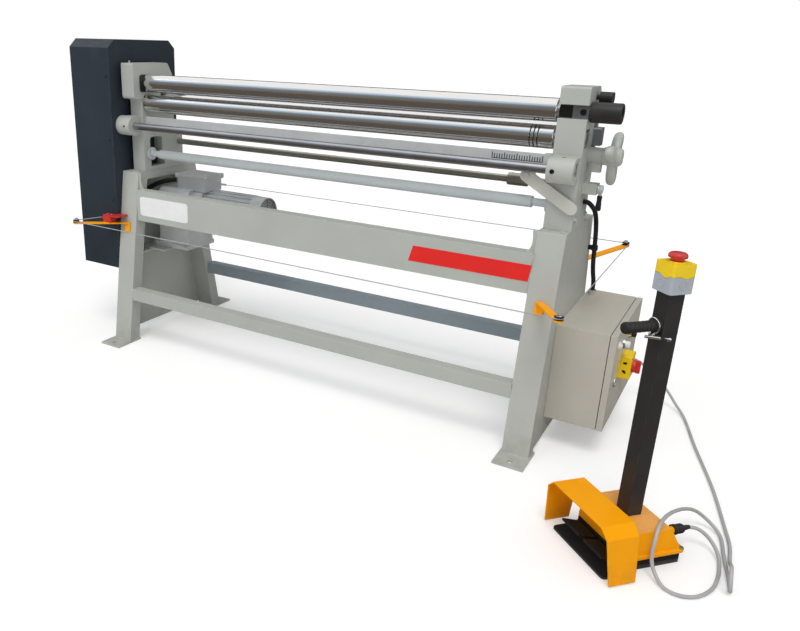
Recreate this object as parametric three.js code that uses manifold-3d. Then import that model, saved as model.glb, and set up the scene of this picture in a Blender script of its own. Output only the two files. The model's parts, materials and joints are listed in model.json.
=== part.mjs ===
// Powered plate rolling machine on two welded stands, with a foot pedal unit that stands beside it.
// Millimetres. X runs along the rolls, Y goes to the back, Z is up. The floor is z = 0.
import * as THREE from 'three';
import { mergeVertices } from 'three/addons/utils/BufferGeometryUtils.js';
import Module from 'manifold-3d';

const wasm = await Module();
wasm.setup();

// Driving dimensions
const clearance = 0.3;
const overrun = 4;
const floorZ = 0;

// Adds a datum to sizes that are measured from it
function measuredFrom(datum, sizes, ...names) {
  names.forEach((name) => {
    sizes[name] += datum;
  });
}

function shifted(points, dx, dz) {
  return points.map(([x, y, z]) => [x + dx, y, z + dz]);
}

// Heights of the roll axes are measured from the top of the stands
const roll = {
  radius: 32.5,
  halfLength: 761,
  journal: 17,
  topY: 72.6,
  topZ: 327,
  lowerZ: 253.5,
  rearY: 165,
  rearZ: 256,
  grooveDepth: 3,
  grooveWide: 3,
  grooveStep: 11,
  grooveFirst: 44,
  grooves: 3,
  tailFrom: 2,
  tailTo: 82,
  tailRadius: 27.5,
  tailBore: 19,
  tailBoreDepth: 52,
};

// The stands carry the side frames, so they follow the length of the rolls
const stand = {
  outer: 83,
  width: 81,
  top: 669,
  depth: 50,
  wall: 5,
  frontFoot: -92.5,
  frontTop: 0,
  rearTop: 334,
  rearFoot: 480,
  footThick: 8,
  footReach: 71.5,
  footTail: 1.5,
  footSide: 6,
  boltSetback: 45.5,
  boltHole: 18,
  drain: 16,
  headHeight: 30,
  headPlate: 10,
  panelThick: 3,
  panelLow: 20,
};
measuredFrom(roll.halfLength, stand, 'outer');
measuredFrom(stand.top, roll, 'topZ', 'lowerZ', 'rearZ');

const shelf = { z: 355, thick: 6, front: 60, rear: 310, inner: -144, railHeight: 30, railThick: 6 };
measuredFrom(stand.outer, shelf, 'inner');

// Heights of the upper beam are measured from the top of the stands
const beam = {
  web: 5,
  upperLow: -182,
  upperHigh: -63,
  upperFront: -17,
  upperDepth: 42,
  lowerLow: 173,
  lowerHigh: 219,
  lowerFront: -67,
  lowerDepth: 40,
  rearFront: 404,
  gussetWide: 24,
  gussetThick: 6,
};
measuredFrom(stand.top, beam, 'upperLow', 'upperHigh');

// Side frames, set off from the ends of the rolls
const frame = {
  left: -60,
  leftInner: -4,
  rightInner: 6,
  right: 79,
  columnFront: 40,
  windowFit: 0.5,
};
measuredFrom(-roll.halfLength, frame, 'leftInner');
measuredFrom(frame.leftInner, frame, 'left');
measuredFrom(roll.halfLength, frame, 'rightInner');
measuredFrom(frame.rightInner, frame, 'right');
measuredFrom(frame.right, roll, 'tailFrom', 'tailTo');

const leftFrame = {
  headFront: 0,
  headTop: 399,
  headRear: 186,
  shoulderY: 213,
  shoulderZ: 354,
  headLow: 271,
  baseRear: 260,
  baseHigh: 126,
  neckZ: 181,
  fillet: 14,
  bossY: 10,
  bossZ: 173,
  bossRadius: 36,
  bossFrom: -18,
  bossTo: -12,
};
measuredFrom(stand.top, leftFrame, 'headTop', 'shoulderZ', 'headLow', 'baseHigh', 'neckZ', 'bossZ');
measuredFrom(frame.left, leftFrame, 'bossFrom');
measuredFrom(frame.leftInner, leftFrame, 'bossTo');

const rightFrame = {
  capTop: 393,
  capRear: 160,
  shoulderZ: 343,
  rear: 200,
  fillet: 8,
  bossFrom: 3,
  bossTo: -4,
  crossBoss: 20,
  crossFrom: 23,
  crossTo: -16,
};
measuredFrom(stand.top, rightFrame, 'capTop', 'shoulderZ');
measuredFrom(frame.rightInner, rightFrame, 'bossFrom', 'crossFrom');
measuredFrom(frame.right, rightFrame, 'bossTo', 'crossTo');

const light = { from: 73, to: 141, low: 68, high: 128, lowFrom: 76, lowTo: 154, lowLow: 17, lowHigh: 53,
  fillet: 14 };
measuredFrom(stand.top, light, 'low', 'high', 'lowLow', 'lowHigh');

// Bearing blocks and the windows they slide in
const topBlock = { high: 36, deep: 44, leftWide: 56, rightWide: 74, slotFront: 32, slotRear: 116,
  bore: 17.4 };
const lowerBlock = { deep: 42, high: 44, lift: 5.9, bore: 17.4 };
const rearBlock = {
  deep: 44,
  high: 44,
  rise: 28,
  drop: 8,
  outerThick: 20,
  outerDeep: 44,
  outerHigh: 50,
  bore: 17.4,
  fillet: 6,
};

// Drive inside the cover, measured outwards from the left stand
const gear = {
  pinchModule: 3.75,
  pinchTeeth: 18,
  pinchFrom: -32,
  pinchTo: -16,
  driveModule: 4,
  driveTeeth: 36,
  pinionTeeth: 14,
  driveFrom: -54,
  driveTo: -38,
  meshAngle: -30,
  pressureAngle: 20,
  backlash: 1.2,
  tipShare: 0.86,
  rootShare: 1.25,
};
measuredFrom(-stand.outer, gear, 'pinchFrom', 'pinchTo', 'driveFrom', 'driveTo');

const chain = {
  upperRadius: 60,
  lowerRadius: 35,
  from: -102,
  to: -90,
  thick: 8,
  lowerY: 190,
  lowerZ: 145,
  gap: 0.6,
  shaft: 14,
  stub: 10,
  hub: 20,
};
measuredFrom(-stand.outer, chain, 'from', 'to');
measuredFrom(shelf.z, chain, 'lowerZ');

const cover = {
  outer: -201.5,
  front: -41,
  rear: 318,
  low: -71,
  high: 480,
  chamferY: 33,
  chamferZ: 30,
  sheet: 3,
  plateThick: 6,
  shaftRoom: 5,
};
measuredFrom(-stand.outer, cover, 'outer');
measuredFrom(stand.top, cover, 'high');
measuredFrom(shelf.z, cover, 'low');

// Bars between the side frames
const bars = {
  frontRadius: 13.2,
  scaleLow: 179,
  scaleHigh: 207,
  scaleY: 54,
  scaleThick: 6,
  scaleBlock: 22,
  scaleRim: 3,
  tieY: 77,
  tieZ: 66,
  tieRadius: 17,
  tieNeck: 11.5,
  tieNeckLong: 48,
  tieFlange: 24,
  tieFlangeThick: 8,
  crossY: 240,
  crossZ: 98,
  crossRadius: 11,
  collarFrom: -176,
  collarTo: -112,
  collarRadius: 19,
};
measuredFrom(stand.top, bars, 'scaleLow', 'scaleHigh', 'tieZ', 'crossZ');
measuredFrom(frame.rightInner, bars, 'collarFrom', 'collarTo');

const stopLever = {
  pivotX: -62,
  pivotZ: -32,
  tipX: 134,
  tipZ: -79,
  wide: 35,
  thick: 5,
  y: 26,
  pin: 5,
  head: 9,
  headThick: 2.4,
};
measuredFrom(frame.rightInner, stopLever, 'pivotX');
measuredFrom(bars.scaleLow, stopLever, 'pivotZ');
measuredFrom(stopLever.pivotX, stopLever, 'tipX');
measuredFrom(stopLever.pivotZ, stopLever, 'tipZ');

// Knob, clamp lever and latch, measured outwards from the right frame
const knob = {
  y: 126,
  z: 208,
  sleeveTo: 39,
  sleeveRadius: 22,
  hubTo: 90,
  hubRadius: 25,
  lobeLong: 75,
  lobeWide: 15,
  lobeTip: 11,
  lobeThick: 20,
  lobes: 3,
  firstLobe: -75,
  bore: 11,
  lugFrom: 16,
  lugTo: 38,
  lugWide: 18,
  lugDown: 46,
  shaftDeep: 36,
};
measuredFrom(stand.top, knob, 'z');
measuredFrom(frame.right, knob, 'sleeveTo', 'hubTo', 'lugFrom', 'lugTo');

const clampLever = { deep: 40, y: 120, low: 101, high: 131, pin: 6, grip: 8, gripLong: 44, gripTop: 99,
  pivotX: 47 };
measuredFrom(stand.top, clampLever, 'low', 'high', 'gripTop');
measuredFrom(frame.right, clampLever, 'pivotX');

const dropLatch = { from: 1, to: 42, y: 122, z: 364, wide: 30, long: 42, pin: 7 };
measuredFrom(stand.top, dropLatch, 'z');
measuredFrom(frame.right, dropLatch, 'from', 'to');

// Electrical cabinet, measured outwards from the right stand
const cabinet = {
  seam: 151,
  door: 20,
  front: 33.5,
  rear: 454,
  low: 94,
  high: 394,
  wall: 2,
  seamGap: 2,
  rimIn: 4,
  hingeRadius: 4,
  hingeLong: 40,
  hingeInset: 10,
  glandRadius: 11,
  glandLong: 14,
  glandX: -10,
  glandZ: 71,
};
measuredFrom(stand.outer, cabinet, 'seam');
measuredFrom(cabinet.seam, cabinet, 'door', 'glandX');
measuredFrom(cabinet.low, cabinet, 'glandZ');

const doorParts = {
  latchY: 76.5,
  latchZ: 131,
  latchRadius: 15,
  latchProud: 4,
  latchPin: 8,
  latchBar: 4,
  latchArm: 32,
  isoFront: 151.5,
  isoRear: 216.5,
  isoLow: 116,
  isoHigh: 191,
  isoProud: 30,
  isoKnobY: 184.5,
  isoKnobZ: 153,
  isoKnobRadius: 20,
  isoKnobLong: 23,
  isoHole: 8,
  isoFillet: 6,
  isoGrip: 12,
  isoLockDeep: 14,
  buttonZ: -64,
  startY: 131.5,
  stopY: 241.5,
  buttonRadius: 11,
  ringRadius: 14,
  ringProud: 7,
  ringFloor: 2,
  buttonProud: 20,
  travel: 4,
  lampY: 46.5,
  lampZ: -42,
  lampRadius: 9,
};
measuredFrom(cabinet.front, doorParts, 'latchY', 'isoFront', 'isoRear', 'isoKnobY', 'startY', 'stopY',
  'lampY');
measuredFrom(cabinet.low, doorParts, 'latchZ', 'isoLow', 'isoHigh', 'isoKnobZ');
measuredFrom(cabinet.high, doorParts, 'buttonZ', 'lampZ');

// Gearbox and motor on the shelf
const gearbox = {
  from: 42,
  to: 224,
  front: 115,
  rear: 262,
  high: 245,
  foot: 12,
  footOut: 10,
  footHole: 9,
  noseRadius: 46,
  shaftDeep: 60,
  neckFrom: 30,
  fillet: 16,
};
measuredFrom(-stand.outer, gearbox, 'from', 'to');
measuredFrom(shelf.z, gearbox, 'high');

const motor = {
  y: 200,
  z: 180,
  radius: 60,
  from: 30,
  bodyTo: 268,
  cowlTo: 320,
  cowlRadius: 64,
  fins: 20,
  finHigh: 6,
  finThick: 3,
  cowlWall: 3,
  cowlDeep: 14,
  flangeRadius: 74,
  flangeThick: 14,
};
measuredFrom(gearbox.to, motor, 'from', 'bodyTo', 'cowlTo');
measuredFrom(shelf.z, motor, 'z');

const terminalBox = {
  from: 102,
  to: 242,
  front: 150,
  rear: 250,
  low: 239,
  high: 290,
  lidHigh: 12,
  lidOut: 5,
  glandRadius: 12,
  glandLong: 16,
  leadRadius: 9,
};
measuredFrom(gearbox.from, terminalBox, 'from', 'to');
measuredFrom(shelf.z, terminalBox, 'low', 'high');

// Bends of the motor lead: x from the outer face of the left stand, z from the shelf
const leadBends = [
  [120, 175, 270], [102, 169, 268], [76, 152, 262], [49, 132, 251], [30, 117, 239], [16, 113, 233], [9,
    112.5, 232],
];

// Bends of the conduit: x from the right frame, z from the top of the stands or of the cabinet
const conduit = { radius: 7, clipRadius: 10, clipWide: 14, tab: 10, glandRadius: 13, glandHigh: 16 };
const conduitHighBends = [
  [6, 143, 72], [11, 150, 70], [15, 170, 62], [17, 205, 47], [17, 243, 30], [17, 282, 0], [17, 313,
    -47],
  [17, 334, -104], [17, 346, -149],
];
const conduitLowBends = [[18, 366, 84], [19.5, 385, 54], [20, 395, 32], [20, 396, 24]];

const wire = {
  radius: 1.6,
  pulleyRadius: 13,
  groove: 4,
  pulleyHigh: 10,
  armThick: 5,
  armWide: 26,
  pin: 4,
  pinProud: 3,
  shoe: 36,
  slot: 5,
  arcSteps: 8,
  tensionerLong: 90,
  tensionerRadius: 5,
};
const frontLeftPulley = { x: -113, y: -150, z: -187.6 };
const frontRightPulley = { x: 42, y: -150, z: -190 };
const rearRightPulley = { x: 57, y: 700, z: -161 };
const rearAnchor = { x: -146, y: 700, z: -161 };
const ropeSwitch = {
  from: -41,
  to: -2,
  y: -65,
  wide: 30,
  z: -192.6,
  high: 24,
  eye: 7,
  stem: 18,
  bracket: 5,
  bracketIn: 36,
};
measuredFrom(-stand.outer, frontLeftPulley, 'x');
measuredFrom(-stand.outer, rearAnchor, 'x');
measuredFrom(-stand.outer, ropeSwitch, 'from', 'to');
measuredFrom(stand.outer, frontRightPulley, 'x');
measuredFrom(stand.outer, rearRightPulley, 'x');
[frontLeftPulley, frontRightPulley, rearRightPulley, rearAnchor, ropeSwitch].forEach((at) => {
  measuredFrom(stand.top, at, 'z');
});

// Pedal unit, in its own frame: a across, b to its back
const pedalUnit = { x: 120.4, y: -385.7, turn: -42.49 };
measuredFrom(stand.outer, pedalUnit, 'x');

const guard = {
  wide: 236,
  shoulderZ: 120,
  top: 143,
  inset: 23,
  low: 5,
  splay: 14,
  rake: 18,
  sheet: 3,
  tabDown: 20,
};
const pedalBase = {
  left: 28,
  right: 208,
  front: 22,
  rear: 242,
  high: 34,
  soleHigh: 6,
  soleLeft: 15,
  soleRight: 221,
  soleRear: 120,
  wall: 3,
  lug: 6,
  fillet: 12,
};
const pedalCover = {
  left: 18,
  right: 218,
  rim: 42,
  top: 97,
  topLeft: 32,
  topRight: 204,
  front: 88.5,
  rear: 248,
  topRear: 208,
  wall: 3,
  ledge: 6,
  fillet: 12,
};
const pedal = { wide: 72, gap: 14, front: 30, rear: 83, thick: 6, hinge: 76, axis: 22, rise: 16, pin: 4,
  boss: 8, room: 3 };

// Post on the cover, with the stop box on its top and the handle below it
const post = { a: 118, b: 154, side: 40, top: 565, wall: 3 };
measuredFrom(pedalCover.top, post, 'top');

const stopBox = { side: 60, seam: 40, high: 26, fillet: 8, wall: 3 };
measuredFrom(post.top, stopBox, 'seam');
measuredFrom(stopBox.seam, stopBox, 'high');

const mushroom = { neck: 14, head: 20, neckHigh: 9, headHigh: 13, stem: 12, rimShare: 0.55,
  domeShare: 0.72 };
const handle = { z: -79, radius: 12.5, long: 88, collarRadius: 16, collarLong: 12, tLong: 38,
  tRadius: 3.5, tZ: -21 };
measuredFrom(post.top, handle, 'z');
measuredFrom(handle.z, handle, 'tZ');

const cable = { radius: 4.5, glandRadius: 9, a: 165.6, z: 60, glandEnd: 278.4, endRun: 0.9 };
const nipple = { radius: 3, high: 8, inset: 22 };

// Free cable from the pedal unit to the cabinet, with x from the outer face of the right stand
const cableBends = [
  [431, -291.8, 60], [444, -277.6, 59], [464.9, -260.1, 50.9], [487.2, -256, 36.6], [508.9, -270.1, 20],
  [521.9, -301.8, 7.6], [518, -412, 5.3], [487.5, -465.5, 4.9], [453.9, -482.4, 5.4],
  [421.1, -474.6, 6.4], [391.7, -447.5, 29.4], [384, -436.3, 55.5], [383.8, -422.5, 89.5],
  [384.7, -398, 106], [394.9, -333.1, 105.8], [424.2, -239.9, 82], [451.1, -180.1, 52.1],
  [472, -162, 32], [493.5, -163, 16.9], [513.5, -182.9, 7.4], [530.7, -276.9, 5.5], [544.2, -354, 8.2],
  [550.5, -389.9, 5], [551.3, -411.7, 11.5], [549.5, -420.8, 27.8], [547, -415.3, 46.5],
  [544.7, -392.6, 57.2], [544.6, -343, 33.6], [543.2, -295.6, 11.9], [538.9, -216.7, 6],
  [520.8, -131.8, 5.3], [481.2, 39.6, 5], [411.5, 276.1, 6], [355, 476.3, 8.5], [324.5, 522.8, 23.5],
  [283.5, 544.6, 63.4], [224.2, 540.1, 119.4], [176.2, 526.1, 150.6], [148, 496, 164],
];
const cableRoute = [
  ...shifted(cableBends, stand.outer, 0),
  [cabinet.glandX, cabinet.rear + cabinet.glandLong + cable.endRun, cabinet.glandZ],
];

// Colours and finishes
const paint = { color: 0xafb2ac, roughness: 0.5, metalness: 0.1 };
const darkPaint = { color: 0x374148, roughness: 0.45, metalness: 0.1 };
const steel = { color: 0xb9bbbd, roughness: 0.2, metalness: 1 };
const dullSteel = { color: 0x8c8f8e, roughness: 0.4, metalness: 0.9 };
const greyPaint = { color: 0x9aa6ac, roughness: 0.5, metalness: 0.2 };
const castAluminium = { color: 0xb4b8b8, roughness: 0.5, metalness: 0.7 };
const orange = { color: 0xf5a31a, roughness: 0.45, metalness: 0 };
const black = { color: 0x232323, roughness: 0.6, metalness: 0 };
const blackPaint = { color: 0x363435, roughness: 0.5, metalness: 0.1 };
const yellow = { color: 0xebbe0a, roughness: 0.4, metalness: 0 };
const paleGrey = { color: 0xafb4be, roughness: 0.45, metalness: 0 };
const red = { color: 0xc8322d, roughness: 0.35, metalness: 0 };
const whitePlastic = { color: 0xe6e6e2, roughness: 0.35, metalness: 0 };
const cableGrey = { color: 0xafafb2, roughness: 0.55, metalness: 0 };

// Solids from three.js geometries
function solidOf(geometry) {
  const bare = geometry.index ? geometry.toNonIndexed() : geometry.clone();
  bare.deleteAttribute('normal');
  bare.deleteAttribute('uv');
  const merged = mergeVertices(bare, 1e-4);
  const mesh = new wasm.Mesh({
    numProp: 3,
    vertProperties: new Float32Array(merged.attributes.position.array),
    triVerts: new Uint32Array(merged.index.array),
  });
  return new wasm.Manifold(mesh);
}

function geometryOf(solid) {
  const mesh = solid.getMesh();
  const geometry = new THREE.BufferGeometry();
  geometry.setAttribute('position', new THREE.BufferAttribute(mesh.vertProperties, mesh.numProp));
  geometry.setIndex(new THREE.BufferAttribute(mesh.triVerts, 1));
  return geometry;
}

function join(...solids) {
  return solids.reduce((all, one) => all.add(one));
}

function cut(solid, ...tools) {
  return tools.reduce((rest, tool) => rest.subtract(tool), solid);
}

function turned(geometry, matrix) {
  return solidOf(geometry.applyMatrix4(matrix));
}

function box(x0, x1, y0, y1, z0, z1) {
  const geometry = new THREE.BoxGeometry(x1 - x0, y1 - y0, z1 - z0);
  geometry.translate((x0 + x1) / 2, (y0 + y1) / 2, (z0 + z1) / 2);
  return solidOf(geometry);
}

// Outline through corners [u, v, fillet radius]
function outline(corners, arcSteps = 4) {
  const points = [];
  corners.forEach(([u, v, fillet = 0], i) => {
    const here = new THREE.Vector2(u, v);
    if (fillet === 0) {
      points.push(here);
      return;
    }
    const before = corners[(i + corners.length - 1) % corners.length];
    const after = corners[(i + 1) % corners.length];
    const start = new THREE.Vector2(before[0], before[1]).sub(here).setLength(fillet).add(here);
    const end = new THREE.Vector2(after[0], after[1]).sub(here).setLength(fillet).add(here);
    points.push(...new THREE.QuadraticBezierCurve(start, here, end).getPoints(arcSteps));
  });
  return points;
}

// The second argument of these three is where the extrusion starts and the third where it ends
const axesX = new THREE.Matrix4().makeBasis(
  new THREE.Vector3(0, 1, 0), new THREE.Vector3(0, 0, 1), new THREE.Vector3(1, 0, 0));
const axesY = new THREE.Matrix4().makeBasis(
  new THREE.Vector3(1, 0, 0), new THREE.Vector3(0, 0, 1), new THREE.Vector3(0, -1, 0));

function extrude(points, holes, depth) {
  const shape = new THREE.Shape(points);
  shape.holes = holes.map((hole) => new THREE.Path(hole));
  return new THREE.ExtrudeGeometry(shape, { depth, bevelEnabled: false });
}

function alongX(points, x0, x1, holes = []) {
  const place = new THREE.Matrix4().makeTranslation(x0, 0, 0).multiply(axesX);
  return turned(extrude(points, holes, x1 - x0), place);
}

function alongY(points, y0, y1, holes = []) {
  const place = new THREE.Matrix4().makeTranslation(0, y1, 0).multiply(axesY);
  return turned(extrude(points, holes, y1 - y0), place);
}

function alongZ(points, z0, z1, holes = []) {
  return turned(extrude(points, holes, z1 - z0), new THREE.Matrix4().makeTranslation(0, 0, z0));
}

function circle(u, v, radius, sides = 24) {
  const points = [];
  for (let i = 0; i < sides; i += 1) {
    const angle = (i + 0.5) * 2 * Math.PI / sides;
    points.push(new THREE.Vector2(u + radius * Math.cos(angle), v + radius * Math.sin(angle)));
  }
  return points;
}

function rodX(y, z, radius, x0, x1, sides = 16) {
  return alongX(circle(y, z, radius, sides), x0, x1);
}

function rodY(x, z, radius, y0, y1, sides = 16) {
  return alongY(circle(x, z, radius, sides), y0, y1);
}

function rodZ(x, y, radius, z0, z1, sides = 16) {
  return alongZ(circle(x, y, radius, sides), z0, z1);
}

function rectangle(u0, u1, v0, v1, fillet = 0) {
  return outline([[u0, v0, fillet], [u1, v0, fillet], [u1, v1, fillet], [u0, v1, fillet]]);
}

// A path that visits every one of its points, so that each becomes a ring of the swept tube
class RoutePath extends THREE.Curve {
  constructor(points) {
    super();
    this.points = points;
  }

  getPointAt(share) {
    return this.points[Math.round(share * (this.points.length - 1))].clone();
  }

  getTangentAt(share) {
    const here = Math.round(share * (this.points.length - 1));
    const before = this.points[Math.max(here - 1, 0)];
    const after = this.points[Math.min(here + 1, this.points.length - 1)];
    return after.clone().sub(before).normalize();
  }
}

function sweep(points, radius, sides) {
  const path = new RoutePath(points);
  const section = new THREE.Shape(circle(0, 0, radius, sides));
  return solidOf(new THREE.ExtrudeGeometry(section, { steps: points.length - 1, extrudePath: path }));
}

function smoothRoute(route, stepsPerSpan) {
  const curve = new THREE.CatmullRomCurve3(route.map((p) => new THREE.Vector3(...p)), false,
    'centripetal');
  return curve.getPoints((route.length - 1) * stepsPerSpan);
}

function degrees(angle) {
  return angle * Math.PI / 180;
}

// Every finished node goes into this list
const nodes = [];

function addNode(name, solid, finish, group = null) {
  const material = new THREE.MeshStandardMaterial(finish);
  const mesh = new THREE.Mesh(geometryOf(solid), material);
  mesh.name = name;
  nodes.push({ mesh, group });
}

// Stands
function acrossLeg(side, margin = 0) {
  const near = stand.outer - stand.width + margin;
  const far = stand.outer - margin;
  return side > 0 ? [near, far] : [-far, -near];
}

// Y of a leg's outer face at a height, in front or at the back
function legFace(front, z) {
  const share = (z - stand.footThick) / (stand.top - stand.footThick);
  const foot = front ? stand.frontFoot : stand.rearFoot;
  const head = front ? stand.frontTop : stand.rearTop;
  return foot + share * (head - foot);
}

function legOutline(front, low, high, inset) {
  const inward = front ? 1 : -1;
  const face = (z) => legFace(front, z) + inward * inset;
  const back = (z) => legFace(front, z) + inward * (stand.depth - inset);
  const points = [[face(low), low], [back(low), low], [back(high), high], [face(high), high]];
  return outline(front ? points : points.reverse());
}

function footPlate(side, front) {
  const [x0, x1] = acrossLeg(side, -stand.footSide);
  const outward = front ? -1 : 1;
  const foot = front ? stand.frontFoot : stand.rearFoot;
  const tip = foot + outward * stand.footReach;
  const tail = foot - outward * (stand.depth + stand.footTail);
  const hole = circle((x0 + x1) / 2, foot + outward * stand.boltSetback, stand.boltHole / 2);
  const drain = circle((x0 + x1) / 2, foot - outward * stand.depth / 2, stand.drain / 2);
  const corners = rectangle(x0, x1, Math.min(tip, tail), Math.max(tip, tail));
  return alongZ(corners, floorZ, stand.footThick, [hole, drain]);
}

function leg(side, front) {
  const [x0, x1] = acrossLeg(side);
  const [in0, in1] = acrossLeg(side, stand.wall);
  const shell = alongX(legOutline(front, stand.footThick, stand.top, 0), x0, x1);
  const hollowTop = stand.top - stand.headPlate;
  return cut(shell, alongX(legOutline(front, stand.footThick - overrun, hollowTop, stand.wall), in0,
    in1));
}

function standHead(side) {
  const [x0, x1] = acrossLeg(side);
  const [in0, in1] = acrossLeg(side, stand.wall);
  const low = stand.top - stand.headHeight;
  const y0 = stand.frontTop + stand.depth - stand.wall;
  const y1 = stand.rearTop - stand.depth + stand.wall;
  const channel = box(x0, x1, y0, y1, low, stand.top);
  return cut(channel, box(in0, in1, y0 - overrun, y1 + overrun, low - overrun,
    stand.top - stand.headPlate));
}

// Channel that joins both legs of the left stand under the motor shelf
function shelfRail(x0, x1) {
  const low = shelf.z - shelf.railHeight;
  const front = legFace(true, shelf.z) + stand.depth - stand.wall / 2;
  const rear = legFace(false, shelf.z) - stand.depth + stand.wall / 2;
  const rail = box(x0, x1, front, rear, low, shelf.z);
  return cut(rail, box(x0 + shelf.railThick, x1 + overrun, front - overrun, rear + overrun,
    low - overrun, shelf.z - shelf.railThick));
}

function buildStand(side) {
  const frontLeg = leg(side, true);
  const rearLeg = leg(side, false);
  const feet = join(footPlate(side, true), footPlate(side, false));
  const body = join(frontLeg, rearLeg, standHead(side), feet, sidePanel(side));
  if (side > 0) {
    return body;
  }
  const [x0, x1] = acrossLeg(side, stand.wall);
  const board = box(x0, -shelf.inner, shelf.front, shelf.rear, shelf.z, shelf.z + shelf.thick);
  return join(body, shelfRail(x0, x1), board);
}

function sidePanel(side) {
  const far = stand.outer;
  const near = far - stand.panelThick;
  const high = stand.top - stand.headHeight / 2;
  const fit = stand.depth - stand.wall / 2;
  const corners = [
    [legFace(true, stand.panelLow) + fit, stand.panelLow],
    [legFace(false, stand.panelLow) - fit, stand.panelLow],
    [legFace(false, high) - fit, high],
    [legFace(true, high) + fit, high],
  ];
  const shaftHole = circle(chain.lowerY, chain.lowerZ, chain.shaft + cover.shaftRoom);
  return side > 0 ? alongX(outline(corners), near, far) : alongX(outline(corners), -far, -near,
    [shaftHole]);
}

addNode('left_stand', buildStand(-1), paint);
addNode('right_stand', buildStand(1), paint);

// Beams between the stands
const beamHalf = stand.outer - stand.width - clearance;

function channelBeam(low, high, front, depth, openRear) {
  const whole = box(-beamHalf, beamHalf, front, front + depth, low, high);
  const inside = openRear ? [front + beam.web, front + depth + overrun] : [front - overrun,
    front + depth - beam.web];
  return cut(whole, box(-beamHalf - overrun, beamHalf + overrun, ...inside, low + beam.web,
    high - beam.web));
}

function gusset(side) {
  const width = side * beam.gussetWide;
  const foot = side * beamHalf;
  const high = stand.top - clearance;
  const start = new THREE.Vector2(foot - width, beam.upperHigh);
  const middle = new THREE.Vector2(foot - width / 6, beam.upperHigh + beam.gussetWide / 2);
  const curve = new THREE.QuadraticBezierCurve(start, middle, new THREE.Vector2(foot - width / 2,
    high));
  const points = [new THREE.Vector2(foot, high), new THREE.Vector2(foot,
    beam.upperHigh - beam.web / 2)];
  points.push(new THREE.Vector2(foot - width, beam.upperHigh - beam.web / 2), ...curve.getPoints(5));
  return alongY(points, stand.frontTop, stand.frontTop + beam.gussetThick);
}

const upperBeam = channelBeam(beam.upperLow, beam.upperHigh, beam.upperFront, beam.upperDepth, true);
addNode('upper_front_beam', join(upperBeam, gusset(-1), gusset(1)), paint);
addNode('lower_front_beam', channelBeam(beam.lowerLow, beam.lowerHigh, beam.lowerFront, beam.lowerDepth,
  true), paint);
addNode('rear_lower_beam', channelBeam(beam.lowerLow, beam.lowerHigh, beam.rearFront, beam.lowerDepth,
  true), greyPaint);

// Side frames
function blockWindow(y, z, deep, high, up, down, x0, x1) {
  const fit = frame.windowFit;
  return box(x0 - overrun, x1 + overrun, y - deep / 2 - fit, y + deep / 2 + fit,
    z - high / 2 - down - fit, z + high / 2 + up + fit);
}

function liftWindows(x0, x1) {
  const lower = blockWindow(roll.topY, roll.lowerZ, lowerBlock.deep, lowerBlock.high, lowerBlock.lift,
    0, x0, x1);
  const rear = blockWindow(roll.rearY, roll.rearZ, rearBlock.deep, rearBlock.high, rearBlock.rise,
    rearBlock.drop, x0, x1);
  return [lower, rear];
}

const seatZ = stand.top + clearance;
const shaftFit = 0.5;

function greaseNipple() {
  const top = leftFrame.headTop;
  return rodZ(frame.left + nipple.inset, nipple.inset, nipple.radius, top - overrun, top + nipple.high,
    12);
}

function buildLeftFrame() {
  const f = leftFrame;
  const corners = [
    [frame.columnFront, seatZ], [f.baseRear, seatZ], [f.baseRear, f.baseHigh, f.fillet],
    [f.shoulderY, f.neckZ, f.fillet], [f.shoulderY, f.shoulderZ, f.fillet / 2],
    [f.headRear, f.headTop, f.fillet / 2], [f.headFront, f.headTop, f.fillet / 2],
    [f.headFront, f.headLow, f.fillet], [frame.columnFront, f.headLow, f.fillet],
  ];
  const body = alongX(outline(corners), frame.left, frame.leftInner);
  const boss = join(
    rodX(f.bossY, f.bossZ, f.bossRadius, f.bossFrom, f.bossTo, 28),
    box(frame.left, f.bossTo, f.bossY, frame.columnFront + overrun, f.bossZ - f.bossRadius,
      f.bossZ + f.bossRadius));
  const slot = box(frame.left - overrun, frame.leftInner + overrun, topBlock.slotFront,
    topBlock.slotRear,
    roll.topZ - topBlock.high / 2 - frame.windowFit, roll.topZ + topBlock.high / 2 + frame.windowFit);
  const upperLight = rectangle(light.from, light.to, light.low, light.high, light.fillet);
  const lowerLight = rectangle(light.lowFrom, light.lowTo, light.lowLow, light.lowHigh);
  const x0 = frame.left - overrun;
  const x1 = frame.leftInner + overrun;
  return cut(
    join(body, boss, greaseNipple()),
    rodX(f.bossY, f.bossZ, bars.frontRadius + shaftFit, f.bossFrom - overrun, f.bossTo + overrun),
    slot,
    alongX(upperLight, x0, x1),
    alongX(lowerLight, x0, x1),
    rodX(bars.crossY, bars.crossZ, bars.crossRadius + shaftFit, x0, x1),
    ...liftWindows(frame.left, frame.leftInner));
}

// Block on the right frame that carries the clamp lever
function buildClampBlock() {
  const { deep, y, low, high, pivotX } = clampLever;
  return box(frame.right - overrun, pivotX - clampLever.grip - clearance, y - deep / 2, y + deep / 2,
    low, high);
}

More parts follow.
